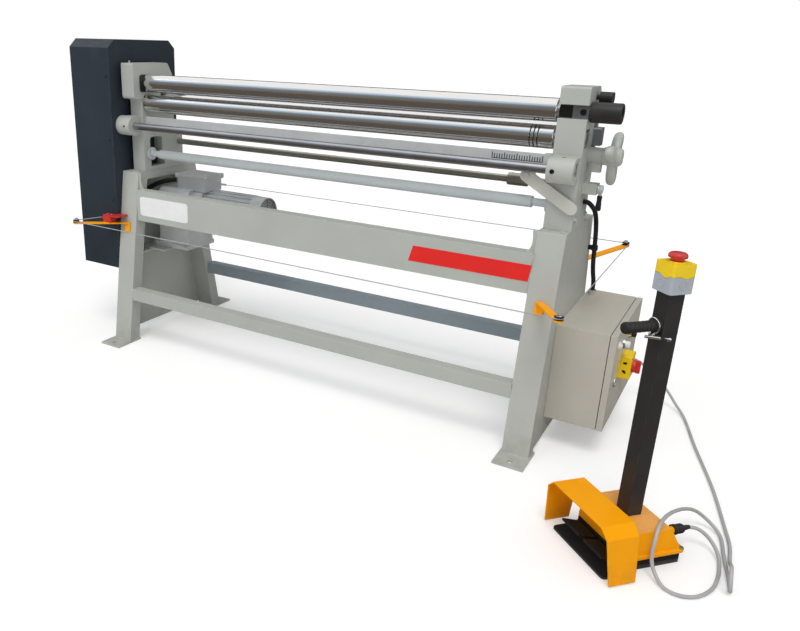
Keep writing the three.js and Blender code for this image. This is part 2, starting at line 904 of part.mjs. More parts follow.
function buildRightFrame() {
  const f = rightFrame;
  const l = leftFrame;
  const slotHigh = roll.topZ + topBlock.high / 2 + frame.windowFit;
  const slotLow = roll.topZ - topBlock.high / 2 - frame.windowFit;
  const corners = [
    [frame.columnFront, seatZ], [f.rear, seatZ], [f.rear, f.shoulderZ, f.fillet], [f.capRear, f.capTop,
      f.fillet],
    [frame.columnFront, f.capTop, f.fillet], [frame.columnFront, slotHigh], [topBlock.slotRear,
      slotHigh],
    [topBlock.slotRear, slotLow], [frame.columnFront, slotLow],
  ];
  const body = alongX(outline(corners), frame.rightInner, frame.right);
  const boss = join(
    rodX(l.bossY, l.bossZ, l.bossRadius, f.bossFrom, f.bossTo, 28),
    box(f.bossFrom, f.bossTo, l.bossY, frame.columnFront + overrun, l.bossZ - l.bossRadius,
      l.bossZ + l.bossRadius));
  const crossBoss = join(
    rodX(bars.crossY, bars.crossZ, f.crossBoss, f.crossFrom, f.crossTo),
    box(f.crossFrom, f.crossTo, f.rear - overrun, bars.crossY, bars.crossZ - f.crossBoss,
      bars.crossZ + f.crossBoss));
  const sleeve = join(
    rodX(knob.y, knob.z, knob.sleeveRadius, frame.right - overrun, knob.sleeveTo),
    box(knob.lugFrom, knob.lugTo, knob.y - knob.lugWide / 2, knob.y + knob.lugWide / 2,
      knob.z - knob.lugDown, knob.z - knob.bore - overrun));
  const x0 = frame.rightInner - overrun;
  const x1 = frame.right + overrun;
  return cut(
    join(body, boss, crossBoss, sleeve, buildClampBlock()),
    rodX(knob.y, knob.z, knob.bore + shaftFit, knob.sleeveTo - knob.shaftDeep, knob.sleeveTo + overrun),
    rodX(l.bossY, l.bossZ, bars.frontRadius + shaftFit, x0, x1),
    rodX(bars.crossY, bars.crossZ, bars.crossRadius + shaftFit, x0, x1),
    ...liftWindows(frame.rightInner, frame.right));
}

addNode('left_side_frame', buildLeftFrame(), paint);
addNode('right_side_frame', buildRightFrame(), paint);

// Rolls. A plain roll has a journal at each end
function rollBody(y, z, from, to) {
  return join(
    rodX(y, z, roll.radius, -roll.halfLength, roll.halfLength, 28),
    rodX(y, z, roll.journal, from, -roll.halfLength + overrun),
    rodX(y, z, roll.journal, roll.halfLength - overrun, to));
}

// Gear wheel around an axis along X, with its first tooth or gap turned to an angle in the YZ plane
function gearOutline(y, z, module, teeth, phase) {
  const pitch = module * teeth / 2;
  const tip = pitch + module * gear.tipShare;
  const root = pitch - module * gear.rootShare;
  const step = 2 * Math.PI / teeth;
  const slack = gear.backlash / (2 * pitch);
  const halfAtPitch = step / 4 - slack;
  const halfAtTip = halfAtPitch - (tip - pitch) * Math.tan(degrees(gear.pressureAngle)) / pitch;
  const halfAtRoot = halfAtPitch + (pitch - root) * Math.tan(degrees(gear.pressureAngle)) / pitch;
  const points = [];
  for (let i = 0; i < teeth; i += 1) {
    const centre = phase + i * step;
    const at = (radius, angle) => {
      points.push(new THREE.Vector2(y + radius * Math.cos(angle), z + radius * Math.sin(angle)));
    };
    at(root, centre - halfAtRoot);
    at(tip, centre - halfAtTip);
    at(tip, centre + halfAtTip);
    at(root, centre + halfAtRoot);
  }
  return points;
}

const down = degrees(-90);
const up = degrees(90);
const toPinion = degrees(gear.meshAngle);
const pinchStep = 2 * Math.PI / gear.pinchTeeth;
const pinionStep = 2 * Math.PI / gear.pinionTeeth;
const driveCentres = gear.driveModule * (gear.driveTeeth + gear.pinionTeeth) / 2 + shaftFit;
const pinionY = roll.topY + driveCentres * Math.cos(toPinion);
const pinionZ = roll.topZ + driveCentres * Math.sin(toPinion);

// Top roll with its pinch gear, drive wheel, and the black sleeve on its free end
function buildTopRoll() {
  const y = roll.topY;
  const z = roll.topZ;
  const pinch = gearOutline(y, z, gear.pinchModule, gear.pinchTeeth, down);
  const drive = gearOutline(y, z, gear.driveModule, gear.driveTeeth, toPinion);
  return join(
    rollBody(y, z, gear.driveFrom - overrun, roll.tailTo - roll.tailBoreDepth - clearance),
    alongX(pinch, gear.pinchFrom, gear.pinchTo),
    alongX(drive, gear.driveFrom, gear.driveTo));
}

function buildTailSleeve() {
  const y = roll.topY;
  const z = roll.topZ;
  const sleeve = rodX(y, z, roll.tailRadius, roll.tailFrom, roll.tailTo, 28);
  const fit = roll.journal + clearance;
  return cut(sleeve,
    rodX(y, z, fit, roll.tailFrom - overrun, roll.tailTo - roll.tailBoreDepth + overrun),
    rodX(y, z, roll.tailBore, roll.tailTo - roll.tailBoreDepth, roll.tailTo + overrun));
}

// Three wire grooves near the right end
function grooveRing(index, y, z) {
  const start = roll.halfLength - roll.grooveFirst - index * roll.grooveStep;
  const end = start + roll.grooveWide;
  const hole = circle(y, z, roll.radius - roll.grooveDepth, 28);
  return alongX(circle(y, z, roll.radius + overrun, 28), start, end, [hole]);
}

function buildLowerRoll() {
  const y = roll.topY;
  const z = roll.lowerZ;
  const rings = Array.from({ length: roll.grooves }, (_, index) => grooveRing(index, y, z));
  const phase = up + pinchStep / 2;
  const pinch = gearOutline(y, z, gear.pinchModule, gear.pinchTeeth, phase);
  const solid = rollBody(y, z, gear.pinchFrom, frame.right - clearance);
  return join(cut(solid, ...rings), alongX(pinch, gear.pinchFrom, gear.pinchTo));
}

function buildRearRoll() {
  return rollBody(roll.rearY, roll.rearZ, frame.left + clearance,
    frame.right + rearBlock.outerThick / 2);
}

addNode('top_roll', buildTopRoll(), steel);
addNode('roll_tail_sleeve', buildTailSleeve(), blackPaint);
addNode('lower_roll', buildLowerRoll(), steel);
addNode('rear_roll', buildRearRoll(), steel);

// Bearing blocks, one pair for each roll
function bearingBlock(y, z, deep, high, x0, x1, bore) {
  const block = box(x0, x1, y - deep / 2, y + deep / 2, z - high / 2, z + high / 2);
  return cut(block, rodX(y, z, bore, x0 - overrun, x1 + overrun));
}

function buildTopBearing(side) {
  const { deep, high, bore, leftWide, rightWide } = topBlock;
  const leftFrom = (frame.left + frame.leftInner - leftWide) / 2;
  const rightFrom = frame.right - clearance - rightWide;
  const from = side > 0 ? rightFrom : leftFrom;
  return bearingBlock(roll.topY, roll.topZ, deep, high, from, from + (side > 0 ? rightWide : leftWide),
    bore);
}

function buildLowerBearing(side) {
  const { deep, high, bore } = lowerBlock;
  const from = side > 0 ? frame.rightInner : frame.left;
  const to = side > 0 ? frame.right : frame.leftInner;
  return bearingBlock(roll.topY, roll.lowerZ, deep, high, from + clearance, to - clearance, bore);
}

function buildRearBearing(side) {
  const { deep, high, bore, outerThick, outerDeep, outerHigh, fillet } = rearBlock;
  const y = roll.rearY;
  const z = roll.rearZ;
  const face = frame.right + clearance;
  const capFace = face + outerThick;
  const corners = rectangle(y - outerDeep / 2, y + outerDeep / 2, z - outerHigh / 2, z + outerHigh / 2,
    fillet);
  const outer = alongX(corners, face, capFace);
  const bored = cut(outer, rodX(y, z, bore, face - overrun, frame.right + outerThick / 2 + clearance));
  if (side < 0) {
    return bearingBlock(y, z, deep, high, frame.left + clearance, frame.leftInner - clearance, bore);
  }
  return join(bearingBlock(y, z, deep, high, frame.rightInner + clearance, face + clearance, bore),
    bored);
}

addNode('left_top_bearing', buildTopBearing(-1), greyPaint);
addNode('right_top_bearing', buildTopBearing(1), greyPaint);
addNode('left_lower_bearing', buildLowerBearing(-1), paint);
addNode('right_lower_bearing', buildLowerBearing(1), paint);
addNode('left_rear_bearing', buildRearBearing(-1), greyPaint);
addNode('right_rear_bearing', buildRearBearing(1), greyPaint);

// Gear cover, a sheet shell that its back plate closes
const plateTo = -stand.outer - clearance;
const plateFrom = plateTo - cover.plateThick;
const coverInner = plateFrom - clearance;

function coverOutline(inset) {
  const front = cover.front + inset;
  const rear = cover.rear - inset;
  const high = cover.high - inset;
  const low = cover.low + inset;
  return outline([
    [front, low], [rear, low], [rear, high - cover.chamferZ], [rear - cover.chamferY, high],
    [front + cover.chamferY, high], [front, high - cover.chamferZ],
  ]);
}

function buildCover() {
  const shell = alongX(coverOutline(0), cover.outer, coverInner);
  return cut(shell, alongX(coverOutline(cover.sheet), cover.outer + cover.sheet, coverInner + overrun));
}

function buildCoverBack() {
  const room = roll.journal + cover.shaftRoom;
  const topHole = circle(roll.topY, roll.topZ, room);
  const high = roll.lowerZ + lowerBlock.lift;
  const lowerSlot = [
    ...new THREE.EllipseCurve(roll.topY, high, room, room, 0, Math.PI).getPoints(10),
    ...new THREE.EllipseCurve(roll.topY, roll.lowerZ, room, room, Math.PI, 2 * Math.PI).getPoints(10),
  ];
  const shaftHole = circle(chain.lowerY, chain.lowerZ, chain.shaft + cover.shaftRoom);
  const back = alongX(coverOutline(0), plateFrom, plateTo);
  const stub = rodX(pinionY, pinionZ, chain.stub, chain.from - overrun, plateFrom + overrun);
  const holes = [topHole, lowerSlot, shaftHole].map((hole) => alongX(hole, plateFrom - overrun,
    plateTo + overrun));
  return join(cut(back, ...holes), stub);
}

addNode('gear_cover', buildCover(), darkPaint);
addNode('gear_cover_back', buildCoverBack(), darkPaint);

// Chain drive from the gearbox to the jackshaft
function buildJackshaft() {
  const pinion = gearOutline(pinionY, pinionZ, gear.driveModule, gear.pinionTeeth,
    toPinion + Math.PI + pinionStep / 2);
  const solid = join(
    alongX(pinion, gear.driveFrom, gear.driveTo),
    rodX(pinionY, pinionZ, chain.hub, chain.to - overrun, gear.driveFrom + overrun),
    rodX(pinionY, pinionZ, chain.upperRadius, chain.from, chain.to, 32));
  return cut(solid, rodX(pinionY, pinionZ, chain.stub + shaftFit, chain.from - overrun,
    gear.driveTo + overrun));
}

function buildGearboxSprocket() {
  return join(
    rodX(chain.lowerY, chain.lowerZ, chain.lowerRadius, chain.from, chain.to, 32),
    rodX(chain.lowerY, chain.lowerZ, chain.shaft, chain.to - overrun,
      gearbox.from + gearbox.shaftDeep));
}

function loopAround(upperRadius, lowerRadius) {
  const across = chain.lowerY - pinionY;
  const rise = pinionZ - chain.lowerZ;
  const lean = Math.atan2(across, rise);
  const flare = Math.asin((upperRadius - lowerRadius) / Math.hypot(across, rise));
  const right = lean - flare;
  const left = Math.PI + lean + flare;
  return [
    ...new THREE.EllipseCurve(pinionY, pinionZ, upperRadius, upperRadius, right, left).getPoints(20),
    ...new THREE.EllipseCurve(chain.lowerY, chain.lowerZ, lowerRadius, lowerRadius, left,
      right + 2 * Math.PI).getPoints(16),
  ];
}

function buildChain() {
  const inner = loopAround(chain.upperRadius + chain.gap, chain.lowerRadius + chain.gap);
  const outer = loopAround(chain.upperRadius + chain.gap + chain.thick,
    chain.lowerRadius + chain.gap + chain.thick);
  return alongX(outer, chain.from, chain.to, [inner]);
}

addNode('jackshaft', buildJackshaft(), dullSteel);
addNode('gearbox_sprocket', buildGearboxSprocket(), dullSteel);
addNode('drive_chain', buildChain(), dullSteel);

// Bars between the side frames
const barLeft = frame.leftInner + clearance;
const barRight = frame.rightInner - clearance;

function buildScaleBar() {
  const { scaleY, scaleThick, scaleLow, scaleHigh, scaleBlock, scaleRim } = bars;
  const flat = box(barLeft, barRight - scaleBlock + overrun, scaleY, scaleY + scaleThick, scaleLow,
    scaleHigh);
  const block = box(barRight - scaleBlock, barRight, scaleY - scaleRim, scaleY + scaleThick + scaleRim,
    scaleLow - scaleRim, scaleHigh + scaleRim);
  const lugHalf = stopLever.wide / 2;
  const lug = box(stopLever.pivotX - lugHalf, stopLever.pivotX + lugHalf, scaleY, scaleY + scaleThick,
    stopLever.pivotZ - lugHalf, scaleLow + overrun);
  const pinFrom = stopLever.y - clearance - stopLever.headThick;
  const pin = rodY(stopLever.pivotX, stopLever.pivotZ, stopLever.pin, pinFrom, scaleY + overrun, 16);
  const head = rodY(stopLever.pivotX, stopLever.pivotZ, stopLever.head, pinFrom,
    stopLever.y - clearance, 16);
  const spacer = rodY(stopLever.pivotX, stopLever.pivotZ, stopLever.head,
    stopLever.y + stopLever.thick + clearance,
    scaleY + overrun, 16);
  return join(flat, block, lug, pin, head, spacer);
}

function buildStopLever() {
  const { pivotX, pivotZ, tipX, tipZ, wide, thick, y, pin } = stopLever;
  const along = Math.atan2(tipZ - pivotZ, tipX - pivotX);
  const pivotEnd = new THREE.EllipseCurve(pivotX, pivotZ, wide / 2, wide / 2, along + Math.PI / 2,
    along + 3 * Math.PI / 2);
  const tipEnd = new THREE.EllipseCurve(tipX, tipZ, wide / 2, wide / 2, along - Math.PI / 2,
    along + Math.PI / 2);
  const points = [...pivotEnd.getPoints(8), ...tipEnd.getPoints(8)];
  return alongY(points, y, y + thick, [circle(pivotX, pivotZ, pin + clearance, 16)]);
}

function buildTieTube() {
  const { tieY, tieZ, tieRadius, tieNeck, tieNeckLong, tieFlange, tieFlangeThick } = bars;
  return join(
    rodX(tieY, tieZ, tieNeck, barLeft, barRight),
    rodX(tieY, tieZ, tieRadius, barLeft + tieNeckLong, barRight - tieNeckLong),
    rodX(tieY, tieZ, tieFlange, barLeft, barLeft + tieFlangeThick),
    rodX(tieY, tieZ, tieFlange, barRight - tieFlangeThick, barRight));
}

function buildCrossShaft() {
  const { crossY, crossZ, crossRadius, collarFrom, collarTo, collarRadius } = bars;
  return join(
    rodX(crossY, crossZ, crossRadius, frame.left + clearance, rightFrame.crossTo + overrun),
    rodX(crossY, crossZ, collarRadius, collarFrom, collarTo));
}

function buildFrontBar() {
  return rodX(leftFrame.bossY, leftFrame.bossZ, bars.frontRadius, leftFrame.bossFrom, rightFrame.bossTo,
    24);
}

addNode('front_bar', buildFrontBar(), steel);
addNode('scale_bar', buildScaleBar(), castAluminium);
addNode('tie_tube', buildTieTube(), greyPaint);
addNode('rear_cross_shaft', buildCrossShaft(), dullSteel);
addNode('stop_lever', buildStopLever(), castAluminium);

// Lobed hand knob of the rear roll
function knobLobe(index) {
  const angle = degrees(knob.firstLobe + index * 360 / knob.lobes);
  const middle = (knob.hubTo + knob.sleeveTo) / 2;
  const start = new THREE.EllipseCurve(0, 0, knob.lobeWide, knob.lobeWide, Math.PI / 2,
    3 * Math.PI / 2).getPoints(6);
  const end = new THREE.EllipseCurve(knob.lobeLong, 0, knob.lobeTip, knob.lobeTip, -Math.PI / 2,
    Math.PI / 2).getPoints(6);
  const turn = new THREE.Matrix4().makeTranslation(0, knob.y,
    knob.z).multiply(new THREE.Matrix4().makeRotationX(angle));
  const place = turn.multiply(new THREE.Matrix4().makeTranslation(middle - knob.lobeThick / 2, 0,
    0)).multiply(axesX);
  return turned(extrude([...start, ...end], [], knob.lobeThick), place);
}

function buildKnob() {
  const lobes = Array.from({ length: knob.lobes }, (_, index) => knobLobe(index));
  return join(
    rodX(knob.y, knob.z, knob.bore, knob.sleeveTo - knob.shaftDeep + clearance, knob.hubTo),
    rodX(knob.y, knob.z, knob.hubRadius, knob.sleeveTo + clearance, knob.hubTo, 28),
    ...lobes);
}

// Small clamp lever with its grip
function buildClampLever() {
  const { pivotX, y, low, high, pin, grip, gripLong, gripTop } = clampLever;
  const middle = (low + high) / 2;
  return join(
    rodX(y, middle, pin * 2, pivotX - grip, pivotX + pin, 16),
    rodZ(pivotX, y, pin, gripTop - overrun, middle, 12),
    rodZ(pivotX, y, grip, gripTop - gripLong, gripTop, 16));
}

function buildDropLatch() {
  const { from, to, y, z, wide, long, pin } = dropLatch;
  const round = wide / 2;
  const left = new THREE.EllipseCurve(y, z, round, round, Math.PI / 2, 3 * Math.PI / 2).getPoints(8);
  const right = new THREE.EllipseCurve(y + long - wide, z, round, round, -Math.PI / 2,
    Math.PI / 2).getPoints(8);
  return join(
    alongX([...left, ...right], from + pin, to),
    rodX(y, z, pin, frame.right + clearance, to));
}

addNode('hand_knob', buildKnob(), paint);
addNode('clamp_lever', buildClampLever(), black);
addNode('drop_end_latch', buildDropLatch(), blackPaint);

// Lead from the terminal box to the side panel
const leadStart = [terminalBox.from - terminalBox.glandLong - 2 * clearance, ...leadBends[0].slice(1)];
const leadEnd = [stand.panelThick + 3 * clearance, ...leadBends[leadBends.length - 1].slice(1)];
const leadRoute = [
  ...shifted([leadStart], 0, shelf.z),
  ...shifted([...leadBends, leadEnd], -stand.outer, shelf.z),
];

// Gearbox and motor on the shelf
const shelfTop = shelf.z + shelf.thick + clearance;

function buildGearbox() {
  const g = gearbox;
  const seat = shelfTop + g.foot;
  const lower = outline([
    [g.front, seat], [g.rear, seat], [g.rear, g.high, g.fillet * 2], [g.front, g.high, g.fillet * 2],
  ]);
  const foot = box(g.from, g.to, g.front - g.footOut, g.rear + g.footOut, shelfTop, seat + overrun);
  const holes = [g.from + g.footOut, g.to - g.footOut].flatMap((x) => [
    rodZ(x, g.front - g.footOut / 2, g.footHole / 4, shelfTop - overrun, seat + 2 * overrun, 12),
    rodZ(x, g.rear + g.footOut / 2, g.footHole / 4, shelfTop - overrun, seat + 2 * overrun, 12),
  ]);
  const body = alongX(lower, g.from + g.neckFrom, g.to);
  const face = rodX(chain.lowerY, chain.lowerZ, g.noseRadius, g.from, g.from + g.neckFrom + overrun,
    28);
  const flange = rodX(motor.y, motor.z, motor.flangeRadius, g.to - overrun, motor.from - clearance, 28);
  const bore = rodX(chain.lowerY, chain.lowerZ, chain.shaft + shaftFit, g.from - overrun,
    g.from + g.shaftDeep + shaftFit);
  return cut(join(foot, body, face, flange), bore, ...holes, terminalRoom());
}

// Room under the terminal box, whose floor seats on the gearbox
function terminalRoom() {
  const t = terminalBox;
  const fit = clearance;
  return box(t.from - fit, t.to + fit, t.front - fit, t.rear + fit, t.low - fit, t.high + t.lidHigh);
}

function buildTerminalBox() {
  const t = terminalBox;
  const body = box(t.from, t.to, t.front, t.rear, t.low, t.high);
  const lid = box(t.from - t.lidOut, t.to + t.lidOut, t.front - t.lidOut, t.rear + t.lidOut, t.high,
    t.high + t.lidHigh);
  const y = leadRoute[0][1];
  const z = leadRoute[0][2];
  const gland = rodX(y, z, t.glandRadius, t.from - t.glandLong, t.from + overrun, 16);
  return join(body, lid, gland);
}

function motorFin(index) {
  const step = 2 * Math.PI / motor.fins;
  const angle = (index + 0.5) * step;
  const half = motor.finThick / 2;
  const points = rectangle(motor.radius - motor.finHigh, motor.radius + motor.finHigh, -half, half);
  const place = new THREE.Matrix4().makeTranslation(motor.from + motor.flangeThick, motor.y, motor.z)
    .multiply(new THREE.Matrix4().makeRotationX(angle)).multiply(axesX);
  return turned(extrude(points, [], motor.bodyTo - motor.from - motor.flangeThick), place);
}

function buildMotor() {
  const fins = Array.from({ length: motor.fins }, (_, index) => motorFin(index));
  const barrel = rodX(motor.y, motor.z, motor.radius, motor.from, motor.bodyTo, 32);
  const flange = rodX(motor.y, motor.z, motor.flangeRadius, motor.from, motor.from + motor.flangeThick,
    28);
  const cowl = rodX(motor.y, motor.z, motor.cowlRadius, motor.bodyTo - overrun, motor.cowlTo, 32);
  const cowlRoom = rodX(motor.y, motor.z, motor.cowlRadius - motor.cowlWall,
    motor.cowlTo - motor.cowlDeep,
    motor.cowlTo + overrun, 32);
  return join(barrel, flange, cut(cowl, cowlRoom), ...fins, buildTerminalBox());
}

addNode('gearbox', buildGearbox(), castAluminium);
addNode('motor', buildMotor(), castAluminium);
addNode('motor_lead', sweep(smoothRoute(leadRoute, 2), terminalBox.leadRadius, 8), black);

// Electrical cabinet on the right stand
const cabinetFrom = stand.outer + clearance;

// Rim that the door closes on, and the two hinge barrels at the rear edge
function cabinetRim() {
  const c = cabinet;
  const inset = c.rimIn;
  const inner = c.rimIn + c.wall;
  const to = c.door - c.wall - clearance;
  const rim = box(c.seam - overrun, to, c.front + inset, c.rear - inset, c.low + inset, c.high - inset);
  const ledge = box(c.seam - c.wall, c.seam, c.front, c.rear, c.low, c.high);
  return cut(join(rim, ledge), box(c.seam - 2 * overrun, to + overrun, c.front + inner, c.rear - inner,
    c.low + inner, c.high - inner));
}

function cabinetHinges() {
  const c = cabinet;
  const lows = [c.low + c.hingeInset, c.high - c.hingeInset - c.hingeLong];
  return lows.map((z) => join(
    rodZ(c.seam + c.seamGap / 2, c.rear + c.hingeRadius, c.hingeRadius, z, z + c.hingeLong, 12),
    box(c.seam - 2 * c.hingeRadius, c.seam, c.rear - c.wall / 2, c.rear + c.hingeRadius, z,
      z + c.hingeLong)));
}

function buildCabinet() {
  const c = cabinet;
  const shell = box(cabinetFrom, c.seam, c.front, c.rear, c.low, c.high);
  const room = box(cabinetFrom + c.wall, c.seam + overrun, c.front + c.wall, c.rear - c.wall,
    c.low + c.wall, c.high - c.wall);
  const gland = rodY(c.glandX, c.glandZ, c.glandRadius, c.rear - c.wall, c.rear + c.glandLong, 18);
  const [glandX, glandY] = conduitRoute[conduitRoute.length - 1];
  const topGland = rodZ(glandX, glandY, conduit.glandRadius, c.high - c.wall,
    c.high + conduit.glandHigh, 18);
  return join(cut(shell, room), cabinetRim(), ...cabinetHinges(), gland, topGland);
}

// Guard rings of the two push buttons and the lamp, all on the door
function buttonRing(y) {
  const d = doorParts;
  const face = cabinet.door + clearance;
  const ring = rodX(y, d.buttonZ, d.ringRadius, cabinet.door - cabinet.wall / 2, face + d.ringProud,
    20);
  return cut(ring, rodX(y, d.buttonZ, d.buttonRadius + shaftFit, face + d.ringFloor,
    face + d.ringProud + overrun, 20));
}

function buildLamp() {
  const d = doorParts;
  return rodX(d.lampY, d.lampZ, d.lampRadius, cabinet.door - cabinet.wall / 2,
    cabinet.door + d.ringProud, 18);
}

// Door pan
function buildDoor() {
  const c = cabinet;
  const from = c.seam + c.seamGap;
  const outer = box(from, c.door, c.front, c.rear, c.low, c.high);
  const inside = box(from - overrun, c.door - c.wall, c.front + c.wall, c.rear - c.wall, c.low + c.wall,
    c.high - c.wall);
  const latchHole = rodX(doorParts.latchY, doorParts.latchZ, doorParts.latchPin + shaftFit,
    c.door - c.wall - overrun,
    c.door + overrun, 16);
  return join(cut(outer, inside, latchHole), buttonRing(doorParts.startY), buttonRing(doorParts.stopY),
    buildLamp());
}

function buildDoorLatch() {
  const d = doorParts;
  const face = cabinet.door + clearance;
  const back = cabinet.door - cabinet.wall - clearance;
  const barHalf = d.latchPin;
  return join(
    rodX(d.latchY, d.latchZ, d.latchRadius, face, face + d.latchProud, 24),
    rodX(d.latchY, d.latchZ, d.latchPin, back - d.latchBar, face + overrun / 2, 16),
    box(back - d.latchBar, back, d.latchY - barHalf, d.latchY + barHalf, d.latchZ - barHalf,
      d.latchZ + d.latchArm));
}

function buildButton(y) {
  const d = doorParts;
  const face = cabinet.door + clearance;
  return rodX(y, d.buttonZ, d.buttonRadius, face + d.ringFloor + d.travel + shaftFit,
    face + d.buttonProud, 20);
}

function buildIsolatorBody() {
  const d = doorParts;
  const face = cabinet.door + clearance;
  const body = alongX(rectangle(d.isoFront, d.isoRear, d.isoLow, d.isoHigh, d.isoFillet), face,
    face + d.isoProud);
  const lockX = face + d.isoProud / 2;
  const holes = [-1, 1].map((side) => rodY(lockX, d.isoKnobZ + side * d.isoHole * 2, d.isoHole / 2,
    d.isoFront - overrun, d.isoFront + d.isoLockDeep, 12));
  return cut(body, ...holes);
}

function buildIsolatorKnob() {
  const d = doorParts;
  const face = cabinet.door + 2 * clearance + d.isoProud;
  const grip = box(face, face + d.isoKnobLong, d.isoKnobY - d.isoGrip / 2, d.isoKnobY + d.isoGrip / 2,
    d.isoKnobZ - d.isoKnobRadius, d.isoKnobZ + d.isoKnobRadius);
  return join(rodX(d.isoKnobY, d.isoKnobZ, d.isoKnobRadius, face, face + d.isoKnobLong / 2, 24), grip);
}

// Corrugated black conduit from the right frame to the cabinet's top
const conduitStart = [3 * clearance, ...conduitHighBends[0].slice(1)];
const conduitEnd = [...conduitLowBends[conduitLowBends.length - 1].slice(0, 2),
  conduit.glandHigh + 2 * clearance];
const conduitRoute = [
  ...shifted([conduitStart, ...conduitHighBends], frame.right, stand.top),
  ...shifted([...conduitLowBends, conduitEnd], frame.right, cabinet.high),
];

function buildConduit() {
  const clip = conduitRoute[conduitHighBends.length - 1];
  const ring = rodZ(clip[0], clip[1], conduit.clipRadius, clip[2] - conduit.clipWide / 2,
    clip[2] + conduit.clipWide / 2, 18);
  const tab = box(stand.outer + clearance, clip[0], clip[1] - conduit.tab / 2,
    clip[1] + conduit.tab / 2,
    clip[2] - conduit.clipWide / 2, clip[2] + conduit.clipWide / 2);
  return join(sweep(smoothRoute(conduitRoute, 2), conduit.radius, 8), ring, tab);
}

addNode('cabinet_body', buildCabinet(), paint);
addNode('cabinet_door', buildDoor(), paint);
addNode('door_latch', buildDoorLatch(), steel);
addNode('isolator_body', buildIsolatorBody(), yellow);
addNode('isolator_knob', buildIsolatorKnob(), red);
addNode('start_button', buildButton(doorParts.startY), whitePlastic);
addNode('stop_button', buildButton(doorParts.stopY), whitePlastic);
addNode('conduit', buildConduit(), black);

// Safety wire round the machine, its arms and pulleys
const wireOffset = wire.pulleyRadius - wire.groove + clearance + wire.radius;

function buildPulley(at) {
  const half = wire.pulleyHigh / 2;
  const lip = (wire.pulleyHigh - wire.slot) / 2;
  const profile = [
    [wire.pin + clearance, -half], [wire.pulleyRadius, -half], [wire.pulleyRadius, lip - half],
    [wire.pulleyRadius - wire.groove, lip - half], [wire.pulleyRadius - wire.groove, half - lip],
    [wire.pulleyRadius, half - lip], [wire.pulleyRadius, half], [wire.pin + clearance, half],
    [wire.pin + clearance, -half],
  ];
  const geometry = new THREE.LatheGeometry(profile.map(([u, v]) => new THREE.Vector2(u, v)), 16);
  geometry.rotateX(Math.PI / 2);
  geometry.translate(at.x, at.y, at.z);
  return solidOf(geometry);
}

// Flat arm that runs level from a shoe on a leg to the pin of a pulley
function buildArm(side, front, at) {
  const top = at.z - wire.pulleyHigh / 2 - clearance;
  const low = top - wire.armThick;
  const outward = front ? -1 : 1;
  const gap = outward * clearance;
  const thick = outward * wire.armThick;
  const [x0, x1] = acrossLeg(side);
  const rootX = (x0 + x1) / 2;
  const rootY = legFace(front, top) + gap + thick / 2;
  const shoeLow = top - wire.shoe;
  const shoe = [
    [legFace(front, shoeLow) + gap, shoeLow], [legFace(front, top) + gap, top],
    [legFace(front, top) + gap + thick, top], [legFace(front, shoeLow) + gap + thick, shoeLow],
  ];
  const half = wire.armWide / 2;
  const heading = Math.atan2(at.y - rootY, at.x - rootX);
  const tip = new THREE.EllipseCurve(at.x, at.y, half, half, heading - Math.PI / 2,
    heading + Math.PI / 2);
  const rootLeft = new THREE.Vector2(rootX - half, rootY);
  const rootRight = new THREE.Vector2(rootX + half, rootY);
  const root = front ? [rootRight, rootLeft] : [rootLeft, rootRight];
  return join(
    alongX(outline(front ? shoe.reverse() : shoe), rootX - half, rootX + half),
    alongZ([...tip.getPoints(8), ...root], low, top),
    rodZ(at.x, at.y, wire.pin, top - overrun / 2, at.z + wire.pulleyHigh / 2 + wire.pinProud, 16));
}

const ropeEye = {
  x: ropeSwitch.from - ropeSwitch.stem - ropeSwitch.eye - wire.radius,
  y: ropeSwitch.y,
  z: ropeSwitch.z + ropeSwitch.high / 2,
};
const wireEnd = { x: rearAnchor.x + wire.tensionerLong + wire.pin, y: rearAnchor.y, z: rearAnchor.z };

// Route of the wire, on the outer side of each pulley
function wirePoints() {
  const stops = [ropeEye, frontLeftPulley, frontRightPulley, rearRightPulley, wireEnd];
  const points = [new THREE.Vector3(ropeEye.x, ropeEye.y, ropeEye.z)];
  for (let i = 1; i < stops.length - 1; i += 1) {
    const here = stops[i];
    const before = Math.atan2(here.y - stops[i - 1].y, here.x - stops[i - 1].x) - Math.PI / 2;
    let after = Math.atan2(stops[i + 1].y - here.y, stops[i + 1].x - here.x) - Math.PI / 2;
    if (after < before) {
      after += 2 * Math.PI;
    }
    for (let step = 0; step <= wire.arcSteps; step += 1) {
      const angle = before + (after - before) * step / wire.arcSteps;
      points.push(new THREE.Vector3(here.x + wireOffset * Math.cos(angle),
        here.y + wireOffset * Math.sin(angle), here.z));
    }
  }
  points.push(new THREE.Vector3(wireEnd.x, wireEnd.y + wireOffset, wireEnd.z));
  return points;
}

// The wire ends in a tensioner whose fork takes the rear left pin
function buildWire() {
  const eyeY = rearAnchor.y + wireOffset;
  const tensioner = rodX(eyeY, rearAnchor.z, wire.tensionerRadius,
    wireEnd.x - overrun - wire.tensionerLong / 2, wireEnd.x, 12);
  const hook = rodX(eyeY, rearAnchor.z, wire.radius * 1.5, rearAnchor.x - wire.pin, wireEnd.x - overrun,
    12);
  const fork = box(rearAnchor.x - wire.pin - clearance, rearAnchor.x + wire.pin,
    rearAnchor.y + wire.pin + clearance,
    eyeY + wire.radius, rearAnchor.z - wire.radius * 2, rearAnchor.z + wire.radius * 2);
  return join(sweep(wirePoints(), wire.radius, 6), tensioner, hook, fork);
}

